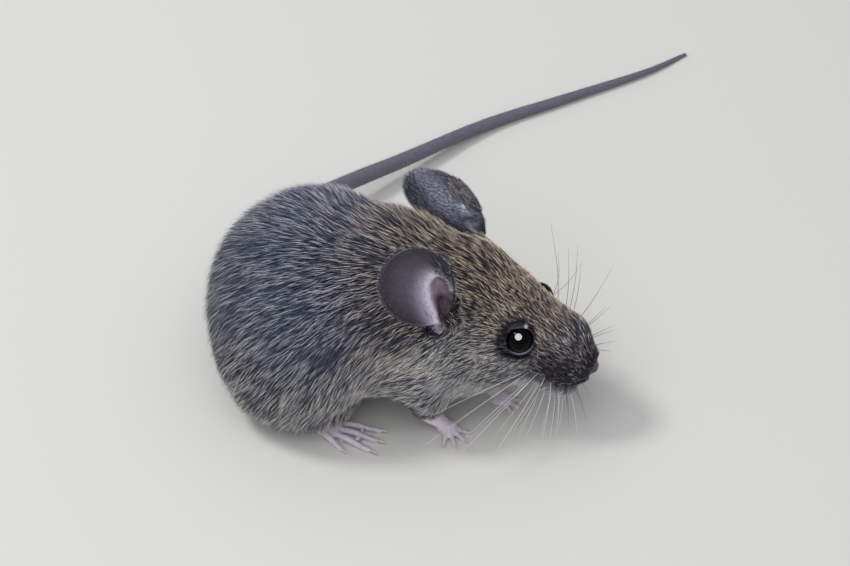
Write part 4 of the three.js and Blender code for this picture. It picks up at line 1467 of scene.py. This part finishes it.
# Painted sheen on the back of the ear: bluish-white streaks along it, and a light band down its middle.
across_ear = add_node(
    tree, "ShaderNodeCombineXYZ", _0=sums(tree, "MULTIPLY", attribute(tree, "ear_front"), 5.0),
    _1=sums(tree, "MULTIPLY", attribute(tree, "ear_long"), 0.7), _2=attribute(tree, "ear_inside"),
).outputs[0]
painted_sheen_streaks = add_node(
    tree, "ShaderNodeTexNoise", Vector=across_ear, Scale=1.0, Detail=3.0, Roughness=0.6
).outputs["Fac"]
off_middle = sums(tree, "ABSOLUTE", sums(tree, "SUBTRACT", attribute(tree, "ear_front"), 2.2))
off_middle = sums(tree, "ADD", off_middle, sums(tree, "MULTIPLY", attribute(tree, "ear_share"), 1.5))
shine = ranged(tree, off_middle, 0.8, 4.2, 0.3, 0.0)
back_of_ear = mixed(tree, ranged(tree, sums(tree, "ADD", painted_sheen_streaks, shine), 0.42, 0.85), "#3a3a46", "#bcc0d8")
back_of_ear = mixed(tree, ranged(tree, attribute(tree, "ear_long"), 1.5, 5.0), "#2b2a30", back_of_ear)
ear_colour = mixed(tree, attribute(tree, "ear_inside"), back_of_ear, ear_colour)
print("ear:", len(tree.nodes), "nodes")

# %% [markdown]
# ## Skin of the other parts, and its relief
# Feet, tail, lids, nose and mouth lie over the skin under the coat. The relief is a fine grain, about a
# sixth of a millimetre across, and on the tail rings of scales about half a millimetre apart.

# %% Skin of the other parts, and its relief
under_coat = mixed(tree, attribute(tree, "dusk"), coat_colour(tree, *ROOTS), "#3d2c37")
colour = mixed(tree, attribute(tree, "ear"), under_coat, ear_colour)
colour = mixed(tree, attribute(tree, "foot"), colour, "#ece0ef")
colour = mixed(tree, attribute(tree, "tail"), colour, "#6a6878")
colour = mixed(tree, attribute(tree, "lid"), colour, "#2f2d38")
# Painted highlight: the fold in the rear corner of the eye is painted light, as a shine.
colour = mixed(tree, sums(tree, "MULTIPLY", attribute(tree, "corner"), 0.7), colour, "#8f8ba2")
# Painted highlight: a pale glint on the lid's swelling.
colour = mixed(tree, attribute(tree, "swelling_and_glint"), colour, "#cdc6da")
# Painted highlight: a thin pale line along the wet edge of the lower lid.
colour = mixed(tree, sums(tree, "MULTIPLY", attribute(tree, "painted_wet_highlight"), 0.8), colour, "#b4b8c6")
colour = mixed(tree, attribute(tree, "patch"), colour, "#70506a")
colour = mixed(tree, attribute(tree, "nose"), colour, "#5c4856")
# Painted shade: the nostrils and the groove between them are painted dark.
colour = mixed(tree, attribute(tree, "nostril"), colour, "#1d1216")
# Painted shade: the groove of the closed mouth is painted dark.
colour = mixed(tree, attribute(tree, "mouth"), colour, "#2a181d")
place_of_skin = add_node(tree, "ShaderNodeTexCoord").outputs["Object"]
grains_per_metre = 1 / (SKIN_GRAIN * MM)
grain = add_node(
    tree, "ShaderNodeTexNoise", Vector=place_of_skin, Scale=grains_per_metre, Detail=3.0, Roughness=0.6
)
rings = sums(tree, "SINE", sums(tree, "MULTIPLY", attribute(tree, "along"), 2 * math.pi / TAIL_RING))
rings = sums(tree, "MULTIPLY", rings, sums(tree, "MULTIPLY", attribute(tree, "tail"), 0.8))
height = sums(tree, "ADD", grain.outputs["Fac"], rings)
relief = add_node(tree, "ShaderNodeBump", Strength=0.35, Distance=0.06 * MM, Height=height)
shader = add_node(tree, "ShaderNodeBsdfPrincipled", Base_Color=colour, Roughness=0.5)
shader.inputs["Subsurface Weight"].default_value = 0.12
shader.inputs["Subsurface Radius"].default_value = (0.0012, 0.0006, 0.0004)
shader.inputs["Subsurface Scale"].default_value = 1.0
finish_material(tree, shader, relief)

# %% [markdown]
# ## Dress the skin and the coat
# Every piece of the coat takes the same hair, because the points of each tuft say which marking it
# grows in.

# %% Dress the skin and the coat
dress(skin, skin_material)
for piece in coat_pieces:
    dress(piece, fur_material)
print("materials:", skin_material.name, fur_material.name)

# %% [markdown]
# ## Eyes
# A mouse's eye is a ball that bulges, black all through at a distance, under a wet clear film. A
# smooth ball with a near-black colour and a very low roughness mirrors one lamp as a bright spot. Light
# linking lets that lamp shine on the eyes alone, so the coat stays as the sky lights it.

# %% Eyes
# A wet eye: near black, and so smooth that its one highlight has a sharp edge.
eye_material = plain_material("wet_black_eye", "#040405", 0.04, IOR=1.18)
eyes = []
for side, (middle, *_) in eye_frames.items():
    spots, faces = egg((0, 0, 0), (EYE_RADIUS,) * 3, 40)
    eye = object_of("eyeball_" + side, new_mesh("eyeball_" + side, middle + spots, faces))
    dress(eye, eye_material)
    eyes.append((eye, side))
towards_catch = -0.08 * right_of_camera + 0.24 * above_camera + 0.97 * towards_camera
catch = add_lamp("catch_light", aim + 1.2 * towards_catch, 1.25, 340.0)
catch.visible_diffuse = catch.visible_camera = False
catch.light_linking.receiver_collection = bpy.data.collections.new("wet_eyes")
for eye, side in eyes:
    catch.light_linking.receiver_collection.objects.link(eye)
print("eyes:", [eye.name for eye, side in eyes])

# %% [markdown]
# ## Horn of the whiskers and claws
# Whiskers are stiff, glossy hair. Each claw is a small curved horn, a cone bent down from the end of
# its toe.

# %% Whiskers' material and claws
# Whisker hair: stiff and glossy, so that a thin line of light runs along it.
whisker_material, tree = new_material("whisker_hair")
shade = mixed(tree, attribute(tree, "dark"), "#eeeae8", "#2b2729")
shader = add_node(tree, "ShaderNodeBsdfPrincipled", Base_Color=shade, Roughness=0.35)
finish_material(tree, shader)
dress(whiskers, whisker_material)
# Horn: pale, smooth and a little shiny, so that the claws show at the ends of the toes.
claw_material = plain_material("claw_horn", "#d9cbc4", 0.3)
CLAW_TAPER = np.array([0.42, 0.42, 0.4, 0.36, 0.3, 0.22, 0.14, 0.05])
parts = []
for first, second, last, thick in claw_places:
    line = smooth_path([first, second, last], 8)
    parts.append(tube(line, thick * CLAW_TAPER, 8))
claws = object_of("claws", new_mesh("claws", *merge(parts)))
dress(claws, claw_material)
print("claws:", len(claw_places))

# %% [markdown]
# ## Fit the pieces to the frame
# Each piece takes the place of the solids it dresses, and all of them ride on the one body.

# %% Fit
ALL_FLESH = [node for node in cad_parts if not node.startswith("eye_")]
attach(skin, "root")
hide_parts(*ALL_FLESH)
for piece in coat_pieces:
    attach(piece, "root")
for eye, side in eyes:
    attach(eye, "root")
    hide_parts("eye_" + side)
for piece, slot in ((claws, "foot_skin"), (whiskers, "brown_coat")):
    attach(piece, "root")
floor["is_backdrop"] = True
low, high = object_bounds()
print("visual box in mm:", [round(1000 * side, 1) for side in high - low])
